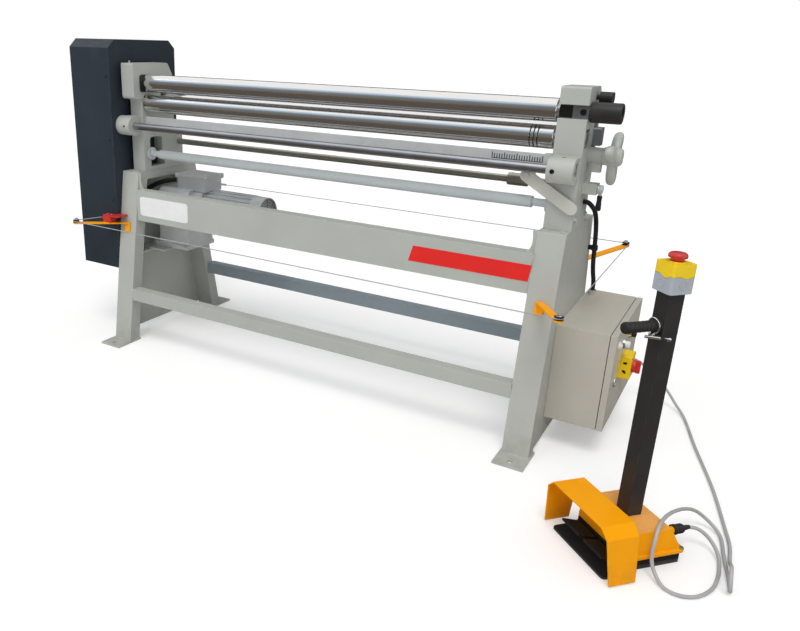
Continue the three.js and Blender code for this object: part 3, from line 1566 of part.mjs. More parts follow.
function buildRopeSwitch() {
  const r = ropeSwitch;
  const middle = r.z + r.high / 2;
  const half = r.wide / 2;
  const body = box(r.from, r.to, r.y - half, r.y + half, r.z, r.z + r.high);
  const stem = rodX(r.y, middle, r.eye / 2, r.from - r.stem, r.from + overrun, 12);
  const ring = rodZ(r.from - r.stem, r.y, r.eye - clearance, middle - r.eye / 3, middle + r.eye / 3,
    16);
  const bracketTop = r.z + r.high + r.bracket;
  const legX = -stand.outer + r.bracketIn;
  const bracket = join(
    box(r.from, legX, r.y - half, r.y + half, r.z + r.high - clearance, bracketTop),
    box(-stand.outer + clearance, legX, r.y, legFace(true, r.z + r.high) - 2 * clearance,
      r.z + r.high - clearance, bracketTop));
  return join(body, stem, ring, bracket);
}

addNode('front_left_arm', buildArm(-1, true, frontLeftPulley), orange);
addNode('front_right_arm', buildArm(1, true, frontRightPulley), orange);
addNode('rear_right_arm', buildArm(1, false, rearRightPulley), orange);
addNode('rear_left_arm', buildArm(-1, false, rearAnchor), orange);
addNode('front_left_pulley', buildPulley(frontLeftPulley), black);
addNode('front_right_pulley', buildPulley(frontRightPulley), black);
addNode('rear_right_pulley', buildPulley(rearRightPulley), black);
addNode('safety_wire', buildWire(), dullSteel);
addNode('rope_switch', buildRopeSwitch(), red);

// Foot pedal unit, built in its own frame and turned into place
const pedals = new THREE.Group();
pedals.position.set(pedalUnit.x, pedalUnit.y, floorZ);
pedals.rotation.z = degrees(pedalUnit.turn);

function guardOutline(inset) {
  const g = guard;
  const low = inset > 0 ? -overrun : g.low;
  return outline([
    [-g.splay + inset, low], [inset, g.shoulderZ], [g.inset + inset / 2, g.top - inset],
    [g.wide - g.inset - inset / 2, g.top - inset], [g.wide - inset, g.shoulderZ],
      [g.wide + g.splay - inset, low],
  ].reverse());
}

function buildGuard() {
  const g = guard;
  const rear = pedalCover.front - clearance;
  const shell = cut(alongY(guardOutline(0), 0, rear), alongY(guardOutline(g.sheet), -overrun,
    rear + overrun));
  const wedge = outline([
    [-overrun, -overrun], [g.rake, -overrun], [g.rake, g.low], [0, g.top], [-overrun, g.top],
  ]);
  const tab = box(g.inset, g.wide - g.inset, rear - overrun, rear, pedalCover.top - g.tabDown,
    g.top - overrun / 2);
  return join(cut(shell, alongX(wedge, -g.splay - overrun, g.wide + g.splay + overrun)), tab);
}

function buildPedalBase() {
  const p = pedalBase;
  const sole = alongZ(rectangle(p.soleLeft, p.soleRight, p.front, p.soleRear, p.fillet), floorZ,
    p.soleHigh);
  const tray = box(p.left, p.right, pedal.rear + pedal.room, p.rear, floorZ, p.high);
  const room = box(p.left + p.wall, p.right - p.wall, pedal.rear + pedal.room + p.wall, p.rear - p.wall,
    p.soleHigh, p.high + overrun);
  const middle = (p.left + p.right) / 2;
  const reach = pedal.gap / 2 + pedal.wide + clearance + p.lug;
  const lugAt = [middle - reach, middle - p.lug / 2, middle + reach - p.lug];
  const lugs = lugAt.map((a) => box(a, a + p.lug, pedal.hinge - pedal.boss,
    pedal.rear + pedal.room + overrun / 2,
    floorZ + overrun / 4, pedal.axis + pedal.boss / 2));
  const pin = rodX(pedal.hinge, pedal.axis, pedal.pin, middle - reach, middle + reach, 16);
  return join(cut(join(sole, tray), room), ...lugs, pin);
}

function buildPedal(side) {
  const middle = (pedalBase.left + pedalBase.right) / 2;
  const near = middle + side * pedal.gap / 2;
  const far = near + side * pedal.wide;
  const profile = outline([
    [pedal.front, pedal.axis + pedal.rise], [pedal.hinge, pedal.axis - pedal.thick / 2], [pedal.rear,
      pedal.axis - pedal.thick / 2],
    [pedal.rear, pedal.axis + pedal.boss / 2], [pedal.hinge, pedal.axis + pedal.boss],
    [pedal.front, pedal.axis + pedal.rise + pedal.thick],
  ]);
  const slab = alongX(profile, Math.min(near, far), Math.max(near, far));
  const eye = rodX(pedal.hinge, pedal.axis, pedal.boss, Math.min(near, far), Math.max(near, far), 20);
  const bore = rodX(pedal.hinge, pedal.axis, pedal.pin + clearance, Math.min(near, far) - overrun,
    Math.max(near, far) + overrun, 20);
  return cut(join(slab, eye), bore);
}

// Sloping cover: a frustum between its rim and its top, hollow from below
function coverBlock(inset, low) {
  const c = pedalCover;
  const slopeAcross = outline([
    [c.left + inset + c.ledge, low], [c.topLeft + inset, c.top - inset], [c.topRight - inset,
      c.top - inset],
    [c.right - inset - c.ledge, low],
  ].reverse());
  const slopeAlong = outline([
    [c.front + inset, low], [c.rear - inset - c.ledge, low], [c.topRear - inset, c.top - inset],
      [c.front + inset, c.top - inset],
  ]);
  return alongY(slopeAcross, c.front - overrun, c.rear + overrun)
    .intersect(alongX(slopeAlong, c.left - overrun, c.right + overrun));
}

function buildPedalCover() {
  const c = pedalCover;
  const low = pedalBase.high + clearance;
  const rim = alongZ(rectangle(c.left, c.right, c.front, c.rear, c.fillet), low, c.rim);
  const room = coverBlock(c.wall, low - overrun);
  const gland = rodY(cable.a, cable.z, cable.glandRadius, c.topRear + c.ledge, cable.glandEnd, 18);
  return cut(join(rim, coverBlock(0, low), gland), room);
}

function buildHandle() {
  const face = post.b - post.side / 2 + post.wall / 2;
  const h = handle;
  return join(
    rodY(post.a, h.z, h.radius, face - h.long, face, 20),
    rodY(post.a, h.z, h.collarRadius, face - h.collarLong, face, 20),
    rodZ(post.a, face - h.collarLong / 2, h.tRadius * 2, h.tZ - h.tRadius * 2, h.z, 12),
    rodX(face - h.collarLong / 2, h.tZ, h.tRadius, post.a, post.a + h.tLong, 12));
}

function buildPost() {
  const half = post.side / 2;
  const low = pedalCover.top + clearance;
  const tube = box(post.a - half, post.a + half, post.b - half, post.b + half, low, post.top);
  const inner = half - post.wall;
  const bore = box(post.a - inner, post.a + inner, post.b - inner, post.b + inner, low - overrun,
    post.top + overrun);
  return join(cut(tube, bore), buildHandle());
}

const boxLow = post.top + clearance;

function stopBoxRing(low, high, floorAt, roofAt) {
  const half = stopBox.side / 2;
  const inner = half - stopBox.wall;
  const whole = alongZ(rectangle(post.a - half, post.a + half, post.b - half, post.b + half,
    stopBox.fillet), low, high);
  const room = alongZ(rectangle(post.a - inner, post.a + inner, post.b - inner, post.b + inner,
    stopBox.fillet - stopBox.wall),
    floorAt, roofAt);
  return cut(whole, room);
}

function buildStopBoxBase() {
  return stopBoxRing(boxLow, stopBox.seam, boxLow + stopBox.wall, stopBox.seam + overrun);
}

function buildStopBoxLid() {
  const low = stopBox.seam + clearance;
  const lid = stopBoxRing(low, stopBox.high, low - overrun, stopBox.high - stopBox.wall);
  return cut(lid, rodZ(post.a, post.b, mushroom.neck + clearance, low, stopBox.high + overrun, 24));
}

function buildMushroom() {
  const m = mushroom;
  const head = stopBox.high + m.neckHigh;
  const profile = [
    [0, stopBox.high - m.stem], [m.neck, stopBox.high - m.stem], [m.neck, head], [m.head, head],
    [m.head, head + m.headHigh * m.rimShare], [m.head * m.domeShare, head + m.headHigh], [0,
      head + m.headHigh],
  ];
  const geometry = new THREE.LatheGeometry(profile.map(([u, v]) => new THREE.Vector2(u, v)), 28);
  geometry.rotateX(Math.PI / 2);
  geometry.translate(post.a, post.b, 0);
  return solidOf(geometry);
}

addNode('pedal_base', buildPedalBase(), black, pedals);
addNode('pedal_cover', buildPedalCover(), orange, pedals);
addNode('foot_guard', buildGuard(), orange, pedals);
addNode('left_pedal', buildPedal(-1), black, pedals);
addNode('right_pedal', buildPedal(1), black, pedals);
addNode('post', buildPost(), blackPaint, pedals);
addNode('stop_box_base', buildStopBoxBase(), paleGrey, pedals);
addNode('stop_box_lid', buildStopBoxLid(), yellow, pedals);
addNode('emergency_button', buildMushroom(), red, pedals);
addNode('pedal_cable', sweep(smoothRoute(cableRoute, 2), cable.radius, 8), cableGrey);

// The whole, with its origin at the bottom centre of everything but the free cable
const machine = new THREE.Group();
machine.name = 'plate_rolling_machine';
machine.add(pedals);
nodes.forEach(({ mesh, group }) => (group || machine).add(mesh));
machine.updateMatrixWorld(true);
const bounds = new THREE.Box3();
nodes.forEach(({ mesh }) => {
  if (mesh.name !== 'pedal_cable') {
    bounds.expandByObject(mesh, true);
  }
});
machine.position.set(-(bounds.min.x + bounds.max.x) / 2, -(bounds.min.y + bounds.max.y) / 2,
  -bounds.min.z);
machine.updateMatrixWorld(true);

export default machine;
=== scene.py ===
"""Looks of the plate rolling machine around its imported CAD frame."""

import json
import math

import bmesh
import bpy
from mathutils import Matrix, Vector


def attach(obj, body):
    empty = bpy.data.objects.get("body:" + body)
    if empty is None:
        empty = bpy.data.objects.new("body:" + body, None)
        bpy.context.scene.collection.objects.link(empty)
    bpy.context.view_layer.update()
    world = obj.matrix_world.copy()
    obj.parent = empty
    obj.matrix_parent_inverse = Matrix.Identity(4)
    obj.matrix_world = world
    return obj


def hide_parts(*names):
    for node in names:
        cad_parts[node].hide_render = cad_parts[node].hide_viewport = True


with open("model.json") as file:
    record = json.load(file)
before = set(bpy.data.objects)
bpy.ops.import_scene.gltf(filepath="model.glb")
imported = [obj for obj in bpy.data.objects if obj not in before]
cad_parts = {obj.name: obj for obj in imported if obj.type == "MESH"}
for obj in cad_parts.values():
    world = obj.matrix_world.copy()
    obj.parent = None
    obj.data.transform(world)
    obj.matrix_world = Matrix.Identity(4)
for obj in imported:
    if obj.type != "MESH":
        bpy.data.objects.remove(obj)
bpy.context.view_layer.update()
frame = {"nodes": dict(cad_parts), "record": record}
scene = bpy.context.scene

# Sizes below are in the part's own millimetres, and OFFSET moves them into the frame of the row.
# The pedal unit has its own frame, with its origin at UNIT and turned by TURN.
OFFSET = Vector((-121.464, -86.416, 0.0))
TURN = math.radians(-42.49)
UNIT = Vector((964.4, -385.7, 0.0))
FRAME = "machine_frame"
X_AXIS, Y_AXIS, Z_AXIS = (1, 0, 0), (0, 1, 0), (0, 0, 1)
FRONTWARD = (0, -1, 0)


def mm(x, y, z):
    """Point of the machine in metres of the row."""
    return (Vector((x, y, z)) + OFFSET) / 1000


MACHINE = Matrix.Scale(0.001, 4) @ Matrix.Translation(OFFSET)
PEDAL = MACHINE @ Matrix.Translation(UNIT) @ Matrix.Rotation(TURN, 4, "Z")


def smooth_route(points, steps):
    """Centripetal Catmull-Rom curve through the points."""
    pts = [Vector(p) for p in points]
    pts = [2 * pts[0] - pts[1]] + pts + [2 * pts[-1] - pts[-2]]
    out = []
    for i in range(1, len(pts) - 2):
        p0, p1, p2, p3 = pts[i - 1 : i + 3]
        t1 = (p1 - p0).length ** 0.5
        t2 = t1 + (p2 - p1).length ** 0.5
        t3 = t2 + (p3 - p2).length ** 0.5
        for k in range(steps):
            t = t1 + (t2 - t1) * k / steps
            a1 = p0.lerp(p1, t / t1)
            a2 = p1.lerp(p2, (t - t1) / (t2 - t1))
            a3 = p2.lerp(p3, (t - t2) / (t3 - t2))
            b1 = a1.lerp(a2, t / t2)
            b2 = a2.lerp(a3, (t - t1) / (t3 - t1))
            out.append(b1.lerp(b2, (t - t1) / (t2 - t1)))
    out.append(pts[-2].copy())
    return out


# Camera
camera_data = bpy.data.cameras.new("camera")
camera_data.lens = 33.6
camera_data.sensor_width = 36
camera_data.sensor_fit = "HORIZONTAL"
camera_data.shift_x = 0.1142
camera_data.shift_y = -0.0129
camera_data.clip_end = 100
camera = bpy.data.objects.new("camera", camera_data)
scene.collection.objects.link(camera)
ahead = Vector((-0.4907, 0.8058, -0.3314)).normalized()
aside = Vector((0.8493, 0.5273, 0.0245))
aside = (aside - ahead * aside.dot(ahead)).normalized()
upward = aside.cross(ahead)
stand_point = (1.167536, -2.180416, 1.154)
view_turn = Matrix((aside, upward, -ahead)).transposed().to_4x4()
camera.matrix_world = Matrix.Translation(stand_point) @ view_turn
scene.camera = camera


# Materials
def rgba(colour, share=1.0):
    return (*[min(max(c * share, 0.0), 1.0) for c in colour], 1.0)


class Tree:
    """Emptied node tree of a material or a world."""

    def __init__(self, holder):
        holder.use_nodes = True
        self.tree = holder.node_tree
        self.tree.nodes.clear()

    def node(self, kind, **settings):
        made = self.tree.nodes.new(kind)
        for key, value in settings.items():
            setattr(made, key, value)
        return made

    def link(self, a, b):
        self.tree.links.new(a, b)

    def math(self, operation, a, b):
        """Socket with the result of an operation on two sockets or numbers."""
        made = self.node("ShaderNodeMath", operation=operation)
        for socket, value in zip(made.inputs, (a, b)):
            if isinstance(value, (int, float)):
                socket.default_value = value
            else:
                self.link(value, socket)
        return made.outputs[0]

    def ramp(self, value, low, high, a=0.0, b=1.0):
        made = self.node("ShaderNodeMapRange")
        made.inputs["From Min"].default_value = low
        made.inputs["From Max"].default_value = high
        made.inputs["To Min"].default_value = a
        made.inputs["To Max"].default_value = b
        self.link(value, made.inputs["Value"])
        return made.outputs[0]

    def seen_rays(self):
        """1 for what is seen directly, in gloss or through glass, and 0 for soft light."""
        path = self.node("ShaderNodeLightPath").outputs
        seen = self.math("MAXIMUM", path["Is Camera Ray"], path["Is Glossy Ray"])
        return self.math("MAXIMUM", seen, path["Is Transmission Ray"])


# Materials by name
LOOKS = {}


class Finish(Tree):
    """A material with mottled colour, worn edges, fine bump and varied roughness."""

    CLOUDS = (0.3, 0.7)

    def __init__(self, name, colour, rough, metal=0.0):
        self.mat = bpy.data.materials.new(name)
        super().__init__(self.mat)
        LOOKS[name] = self.mat
        self.mat.diffuse_color = rgba(colour)
        self.colour = colour
        self.rough = rough
        self.current = None
        self.bump_from = None
        self.shader = self.node("ShaderNodeBsdfPrincipled")
        self.link(self.shader.outputs[0], self.node("ShaderNodeOutputMaterial").inputs[0])
        self.shader.inputs["Metallic"].default_value = metal
        self.where = self.node("ShaderNodeTexCoord").outputs["Object"]

    def noise(self, scale, detail, stretch=None):
        """Cloudy values, stretched by a factor per axis."""
        source = self.where
        if stretch:
            mapping = self.node("ShaderNodeMapping")
            mapping.inputs["Scale"].default_value = stretch
            self.link(source, mapping.inputs["Vector"])
            source = mapping.outputs[0]
        made = self.node("ShaderNodeTexNoise")
        made.inputs["Scale"].default_value = scale
        made.inputs["Detail"].default_value = detail
        made.inputs["Roughness"].default_value = 0.55
        self.link(source, made.inputs["Vector"])
        return made.outputs[0]

    def mottle(self, scale, amount, stretch=None, tint=None):
        """Soft patches lighter and darker than the colour."""
        mix = self.node("ShaderNodeMix", data_type="RGBA")
        self.link(self.ramp(self.noise(scale, 4.0, stretch), *self.CLOUDS), mix.inputs["Factor"])
        mix.inputs["A"].default_value = rgba(self.colour, 1 - amount)
        mix.inputs["B"].default_value = rgba(tint or self.colour, 1 + amount)
        self.current = mix.outputs["Result"]
        return self

    def over(self, mask, colour):
        """Another colour laid over the current one through a mask."""
        mix = self.node("ShaderNodeMix", data_type="RGBA")
        self.link(mask, mix.inputs["Factor"])
        self.link(self.current, mix.inputs["A"])
        mix.inputs["B"].default_value = rgba(colour)
        self.current = mix.outputs["Result"]
        return self

    def specks(self, scale, share, colour):
        """Small spots of another colour, with soft rims."""
        start, rim = 1 - share, 0.05
        return self.over(self.ramp(self.noise(scale, 2.0), start, start + rim), colour)

    def edges(self, radius, colour, strength, scale=40.0):
        """Rounded edges, and wear along them."""
        bevel = self.node("ShaderNodeBevel", samples=6)
        bevel.inputs["Radius"].default_value = radius
        self.bump_from = bevel.outputs[0]
        dot = self.node("ShaderNodeVectorMath", operation="DOT_PRODUCT")
        self.link(bevel.outputs[0], dot.inputs[0])
        self.link(self.node("ShaderNodeNewGeometry").outputs["Normal"], dot.inputs[1])
        flat, rounded = 0.985, 0.86
        edge = self.ramp(dot.outputs["Value"], flat, rounded)
        patchy = self.ramp(self.noise(scale, 5.0), 0.42, 0.58)
        worn = self.math("MULTIPLY", edge, patchy)
        return self.over(self.math("MULTIPLY", worn, strength), colour)

    def low_dirt(self, height, colour, strength):
        """Dust and scuffs that gather near the floor."""
        split = self.node("ShaderNodeSeparateXYZ")
        self.link(self.where, split.inputs[0])
        near = self.ramp(split.outputs[2], height, 0.0)
        patchy = self.ramp(self.noise(30.0, 5.0), 0.35, 0.7)
        return self.over(self.math("MULTIPLY", self.math("MULTIPLY", near, patchy), strength), colour)

    def scratches(self, stretch, colour, strength):
        """Fine marks along the axis that is stretched least."""
        fine = self.ramp(self.noise(1.0, 2.0, stretch), 0.62, 0.72)
        return self.over(self.math("MULTIPLY", fine, strength), colour)

    def done(self, grain, bump, depth, stretch=None, **sockets):
        """Joins colour, roughness and bump to the shader."""
        self.link(self.current, self.shader.inputs["Base Color"])
        roughness = self.ramp(self.noise(35.0, 4.0), *self.CLOUDS, *self.rough)
        self.link(roughness, self.shader.inputs["Roughness"])
        made = self.node("ShaderNodeBump")
        made.inputs["Strength"].default_value = bump
        made.inputs["Distance"].default_value = depth
        self.link(self.noise(grain, 2.0, stretch), made.inputs["Height"])
        if self.bump_from:
            self.link(self.bump_from, made.inputs["Normal"])
        self.link(made.outputs[0], self.shader.inputs["Normal"])
        for key, value in sockets.items():
            self.shader.inputs[key.replace("_", " ")].default_value = value


def paint(name, colour, edge_colour):
    made = Finish(name, colour, rough=(0.36, 0.5)).mottle(4.0, 0.05)
    made.specks(260.0, 0.24, tuple(c * 0.8 for c in colour))
    made.edges(0.0022, edge_colour, 0.55)
    made.low_dirt(0.16, (0.2, 0.18, 0.15), 0.28)
    made.done(grain=520.0, bump=0.16, depth=0.0004, Coat_Weight=0.12, Coat_Roughness=0.3)


def metal(name, colour, rough):
    made = Finish(name, colour, metal=1.0, rough=rough).mottle(9.0, 0.08)
    made.scratches((900.0, 3.0, 3.0), tuple(c * 0.6 for c in colour), 0.3)
    made.edges(0.0012, tuple(min(c * 1.25, 1.0) for c in colour), 0.5)
    made.done(grain=1.0, stretch=(1400.0, 12.0, 12.0), bump=0.12, depth=0.0002)


def plastic(name, colour, rough=(0.3, 0.42), grain=1400.0, bump=0.12, **extra):
    made = Finish(name, colour, rough=rough).mottle(12.0, 0.04)
    made.edges(0.0012, tuple(min(c * 1.2 + 0.02, 1.0) for c in colour), 0.35)
    made.scratches((60.0, 400.0, 40.0), tuple(c * 0.85 for c in colour), 0.15)
    made.done(grain=grain, bump=bump, depth=0.0003, **extra)


def sticker(name, colour):
    made = Finish(name, colour, rough=(0.28, 0.4)).mottle(18.0, 0.03)
    made.specks(900.0, 0.2, tuple(c * 0.95 for c in colour))
    made.done(grain=60.0, bump=0.04, depth=0.0004, Specular_IOR_Level=0.35)


def cover_paint():
    made = Finish("cover_blue", (0.026, 0.037, 0.05), rough=(0.42, 0.56)).mottle(3.0, 0.12)
    made.specks(420.0, 0.3, (0.04, 0.054, 0.07))
    made.edges(0.0018, (0.13, 0.16, 0.19), 0.45, 25.0)
    made.scratches((14.0, 60.0, 3.0), (0.08, 0.1, 0.12), 0.12)
    made.done(grain=420.0, bump=0.4, depth=0.0006, Specular_IOR_Level=0.25)


def orange_paint():
    made = Finish("orange_paint", (1.0, 0.385, 0.0), rough=(0.36, 0.5)).mottle(7.0, 0.05)
    made.specks(300.0, 0.26, (0.93, 0.35, 0.0))
    made.edges(0.002, (1.0, 0.55, 0.06), 0.6)
    made.low_dirt(0.07, (0.25, 0.14, 0.05), 0.25)
    made.done(grain=650.0, bump=0.25, depth=0.0004, Specular_IOR_Level=0.12)


def rough_orange():
    made = Finish("rough_orange", (0.9, 0.4, 0.07), rough=(0.5, 0.65)).mottle(14.0, 0.1)
    # Pale specks painted as the glints of the rough top.
    made.specks(420.0, 0.42, (0.93, 0.55, 0.28))
    made.edges(0.0015, (1.0, 0.6, 0.2), 0.4)
    made.done(grain=520.0, bump=1.0, depth=0.0012)


def black_post():
    made = Finish("black_paint", (0.03, 0.028, 0.028), rough=(0.38, 0.52)).mottle(6.0, 0.15)
    made.specks(380.0, 0.3, (0.042, 0.038, 0.036))
    made.edges(0.0016, (0.16, 0.15, 0.14), 0.5)
    made.done(grain=500.0, bump=0.3, depth=0.0004, Specular_IOR_Level=0.3)


def roll_steel():
    made = Finish("roll_steel", (0.85, 0.85, 0.86), metal=1.0, rough=(0.1, 0.18))
    # Lengthwise streaks of a warmer tone, painted as the reflection of a warm floor.
    made.mottle(2.5, 0.06, (3.0, 22.0, 22.0), (0.82, 0.8, 0.77))
    made.scratches((520.0, 2.0, 2.0), (0.62, 0.61, 0.6), 0.2)
    made.scratches((1.2, 160.0, 160.0), (0.68, 0.66, 0.63), 0.15)
    made.edges(0.0012, (0.8, 0.8, 0.8), 0.4)
    made.done(grain=1.0, stretch=(2600.0, 6.0, 6.0), bump=0.05, depth=0.0001)


def cast_alloy():
    made = Finish("cast_alloy", (0.64, 0.66, 0.66), metal=0.3, rough=(0.42, 0.58)).mottle(9.0, 0.1)
    made.specks(330.0, 0.34, (0.5, 0.52, 0.53))
    made.edges(0.0016, (0.74, 0.75, 0.75), 0.6)
    made.done(grain=330.0, bump=0.5, depth=0.0006)


def cable_sheath():
    made = Finish("cable_grey", (0.43, 0.43, 0.44), rough=(0.45, 0.6)).mottle(16.0, 0.06)
    made.low_dirt(0.012, (0.2, 0.2, 0.19), 0.4)
    made.done(grain=900.0, bump=0.15, depth=0.0003)


# A look for each slot
paint("frame_grey", (0.465, 0.48, 0.445), (0.68, 0.69, 0.65))
cover_paint()
roll_steel()
metal("dark_steel", (0.25, 0.26, 0.26), (0.3, 0.45))
paint("blue_grey", (0.3, 0.36, 0.4), (0.55, 0.6, 0.63))
cast_alloy()
orange_paint()
plastic("black_plastic", (0.018, 0.018, 0.018), (0.42, 0.56), 500.0, 0.35, Specular_IOR_Level=0.3)
black_post()
plastic("yellow_plastic", (0.93, 0.65, 0.005))
plastic("grey_plastic", (0.43, 0.46, 0.51))
plastic("red_plastic", (0.58, 0.032, 0.026), (0.22, 0.35))
plastic("white_plastic", (0.78, 0.78, 0.75))
cable_sheath()

# Looks of single pieces
rough_orange()
plastic("rubber", (0.022, 0.021, 0.02), (0.55, 0.7), 380.0, 0.6, Specular_IOR_Level=0.3)
metal("zinc", (0.66, 0.66, 0.64), (0.22, 0.36))
metal("chrome", (0.78, 0.78, 0.78), (0.08, 0.16))
sticker("sticker_white", (0.86, 0.86, 0.86))
sticker("sticker_red", (0.82, 0.018, 0.014))
sticker("pale_yellow", (0.62, 0.5, 0.17))
sticker("ink", (0.01, 0.01, 0.01))
paint("cabinet_beige", (0.515, 0.49, 0.43), (0.66, 0.64, 0.58))
paint("tube_grey", (0.54, 0.585, 0.58), (0.7, 0.74, 0.74))
paint("lever_cream", (0.56, 0.555, 0.5), (0.75, 0.74, 0.68))
plastic("wire_grey", (0.4, 0.41, 0.42), (0.3, 0.42))
# Near black, painted as the shade deep in the wire grooves.
metal("groove_shade_black", (0.035, 0.032, 0.03), (0.4, 0.55))
metal("bearing_steel", (0.42, 0.45, 0.5), (0.34, 0.46))
metal("drawn_steel", (0.5, 0.505, 0.53), (0.28, 0.4))
metal("olive_steel", (0.45, 0.45, 0.39), (0.32, 0.46))

# Nodes with a look of their own
OWN_LOOK = {
    "cabinet_body": "cabinet_beige",
    "cabinet_door": "cabinet_beige",
    "stop_lever": "lever_cream",
    "safety_wire": "wire_grey",
    "left_top_bearing": "black_plastic",
    "left_lower_bearing": "black_plastic",
    "right_top_bearing": "bearing_steel",
    "right_lower_bearing": "bearing_steel",
    "right_rear_bearing": "bearing_steel",
}
for part in frame["record"]["subparts"]:
    for holder in frame["nodes"][part["node"]].material_slots:
        holder.material = LOOKS[OWN_LOOK.get(part["node"], part["material_slot"])]


# Mesh builders, in millimetres of the frame that is given to piece()
def axis_matrix(origin, axis):
    """Local z along the axis."""
    z = Vector(axis).normalized()
    x = Vector((0, 0, 1)).cross(z)
    if x.length < 1e-6:
        x = Vector((1, 0, 0))
    x.normalize()
    y = z.cross(x)
    return Matrix.Translation(Vector(origin)) @ Matrix((x, y, z)).transposed().to_4x4()


def lathe(bm, profile, origin, axis, segments):
    """Closed turned form: profile is [(radius, height)], and a radius of 0 closes an end."""
    place = axis_matrix(origin, axis)
    angles = [2 * math.pi * i / segments for i in range(segments)]
    rings = []
    for radius, height in profile:
        if radius < 1e-6:
            rings.append([bm.verts.new(place @ Vector((0, 0, height)))])
            continue
        rings.append([
            bm.verts.new(place @ Vector((radius * math.cos(angle), radius * math.sin(angle), height)))
            for angle in angles
        ])
    for a, b in zip(rings, rings[1:]):
        for i in range(segments):
            j = (i + 1) % segments
            if len(a) == 1 and len(b) == 1:
                continue
            if len(a) == 1:
                bm.faces.new((a[0], b[i], b[j]))
            elif len(b) == 1:
                bm.faces.new((a[i], b[0], a[j]))
            else:
                bm.faces.new((a[i], b[i], b[j], a[j]))


def prism(bm, outline, place, low, high):
    """Straight extrusion of a flat outline between two heights of a local frame."""
    bottom = [bm.verts.new(place @ Vector((u, v, low))) for u, v in outline]
    top = [bm.verts.new(place @ Vector((u, v, high))) for u, v in outline]
    bm.faces.new(bottom[::-1])
    bm.faces.new(top)
    for i in range(len(outline)):
        j = (i + 1) % len(outline)
        bm.faces.new((bottom[i], bottom[j], top[j], top[i]))


def block(bm, x0, x1, y0, y1, z0, z1):
    prism(bm, [(x0, y0), (x1, y0), (x1, y1), (x0, y1)], Matrix(), z0, z1)


def round_rectangle(u0, u1, v0, v1, radius, steps):
    """Outline of a rectangle with rounded corners of so many steps each."""
    points = []
    corners = ((u1, v1, 0), (u0, v1, 90), (u0, v0, 180), (u1, v0, 270))
    for u, v, start in corners:
        cu = u + radius * (-1 if u == u1 else 1)
        cv = v + radius * (-1 if v == v1 else 1)
        for k in range(steps + 1):
            angle = math.radians(start + 90 * k / steps)
            points.append((cu + radius * math.cos(angle), cv + radius * math.sin(angle)))
    return points


def hexagon(radius):
    return [(radius * math.cos(k * math.pi / 3), radius * math.sin(k * math.pi / 3)) for k in range(6)]


def hex_bolt(bm, at, axis, across, high, washer=True):
    """Hexagon head with a chamfered crown, mostly on a washer, its seat at the given point."""
    seat = 1.6 if washer else 0.0
    if washer:
        lathe(bm, [(0, 0), (across * 0.82, 0), (across * 0.85, 0.4), (across * 0.85, 1.2),
                   (across * 0.8, seat), (0, seat)], at, axis, 24)
    radius = across / math.sqrt(3)
    prism(bm, hexagon(radius), axis_matrix(at, axis), seat, seat + high * 0.82)
    crown = Vector(at) + Vector(axis).normalized() * (seat + high * 0.8)
    lathe(bm, [(0, 0), (across * 0.5, 0), (across * 0.5, high * 0.08), (across * 0.42, high * 0.2),
               (0, high * 0.2)], crown, axis, 24)


def socket_screw(bm, at, axis, radius, high):
    """Cap screw with its socket sunk in the head."""
    lathe(bm, [(0, 0), (radius, 0), (radius, high * 0.85), (radius * 0.9, high), (radius * 0.56, high),
               (radius * 0.5, high * 0.92), (radius * 0.5, high * 0.35), (0, high * 0.35)], at, axis, 24)


def pan_screw(bm, at, axis, radius):
    """Low domed screw head with a dimple."""
    lathe(bm, [(0, 0), (radius, 0), (radius * 0.96, radius * 0.25), (radius * 0.75, radius * 0.5),
               (radius * 0.35, radius * 0.62), (0, radius * 0.4)], at, axis, 20)


def skin(bm, rings, caps=True):
    """Faces between rings of equal counts, and over the first and the last one."""
    for a, b in zip(rings, rings[1:]):
        for i in range(len(a)):
            j = (i + 1) % len(a)
            bm.faces.new((a[i], a[j], b[j], b[i]))
    if caps:
        bm.faces.new(rings[0][::-1])
        bm.faces.new(rings[-1])


def circle(centre, radius, steps, u_axis):
    """Closed circle of points in the upright plane along the u axis."""
    angles = [2 * math.pi * k / steps for k in range(steps + 1)]
    return [Vector(centre) + radius * Vector((math.cos(t) * u_axis[0], math.cos(t) * u_axis[1], math.sin(t)))
            for t in angles]


def tube(bm, points, radius, segments, caps=True):
    """Swept round tube; radius is a number or a function of the length so far."""
    points = [Vector(p) for p in points]
    lengths = [0.0]
    for a, b in zip(points, points[1:]):
        lengths.append(lengths[-1] + (b - a).length)
    side = None
    rings = []
    for i, point in enumerate(points):
        ahead = points[min(i + 1, len(points) - 1)] - points[max(i - 1, 0)]
        ahead.normalize()
        if side is None:
            side = ahead.orthogonal().normalized()
        side = (side - ahead * side.dot(ahead)).normalized()
        other = ahead.cross(side)
        size = radius(lengths[i]) if callable(radius) else radius
        rings.append([
            bm.verts.new(point + size * (math.cos(2 * math.pi * k / segments) * side
                                         + math.sin(2 * math.pi * k / segments) * other))
            for k in range(segments)
        ])
    skin(bm, rings, caps)


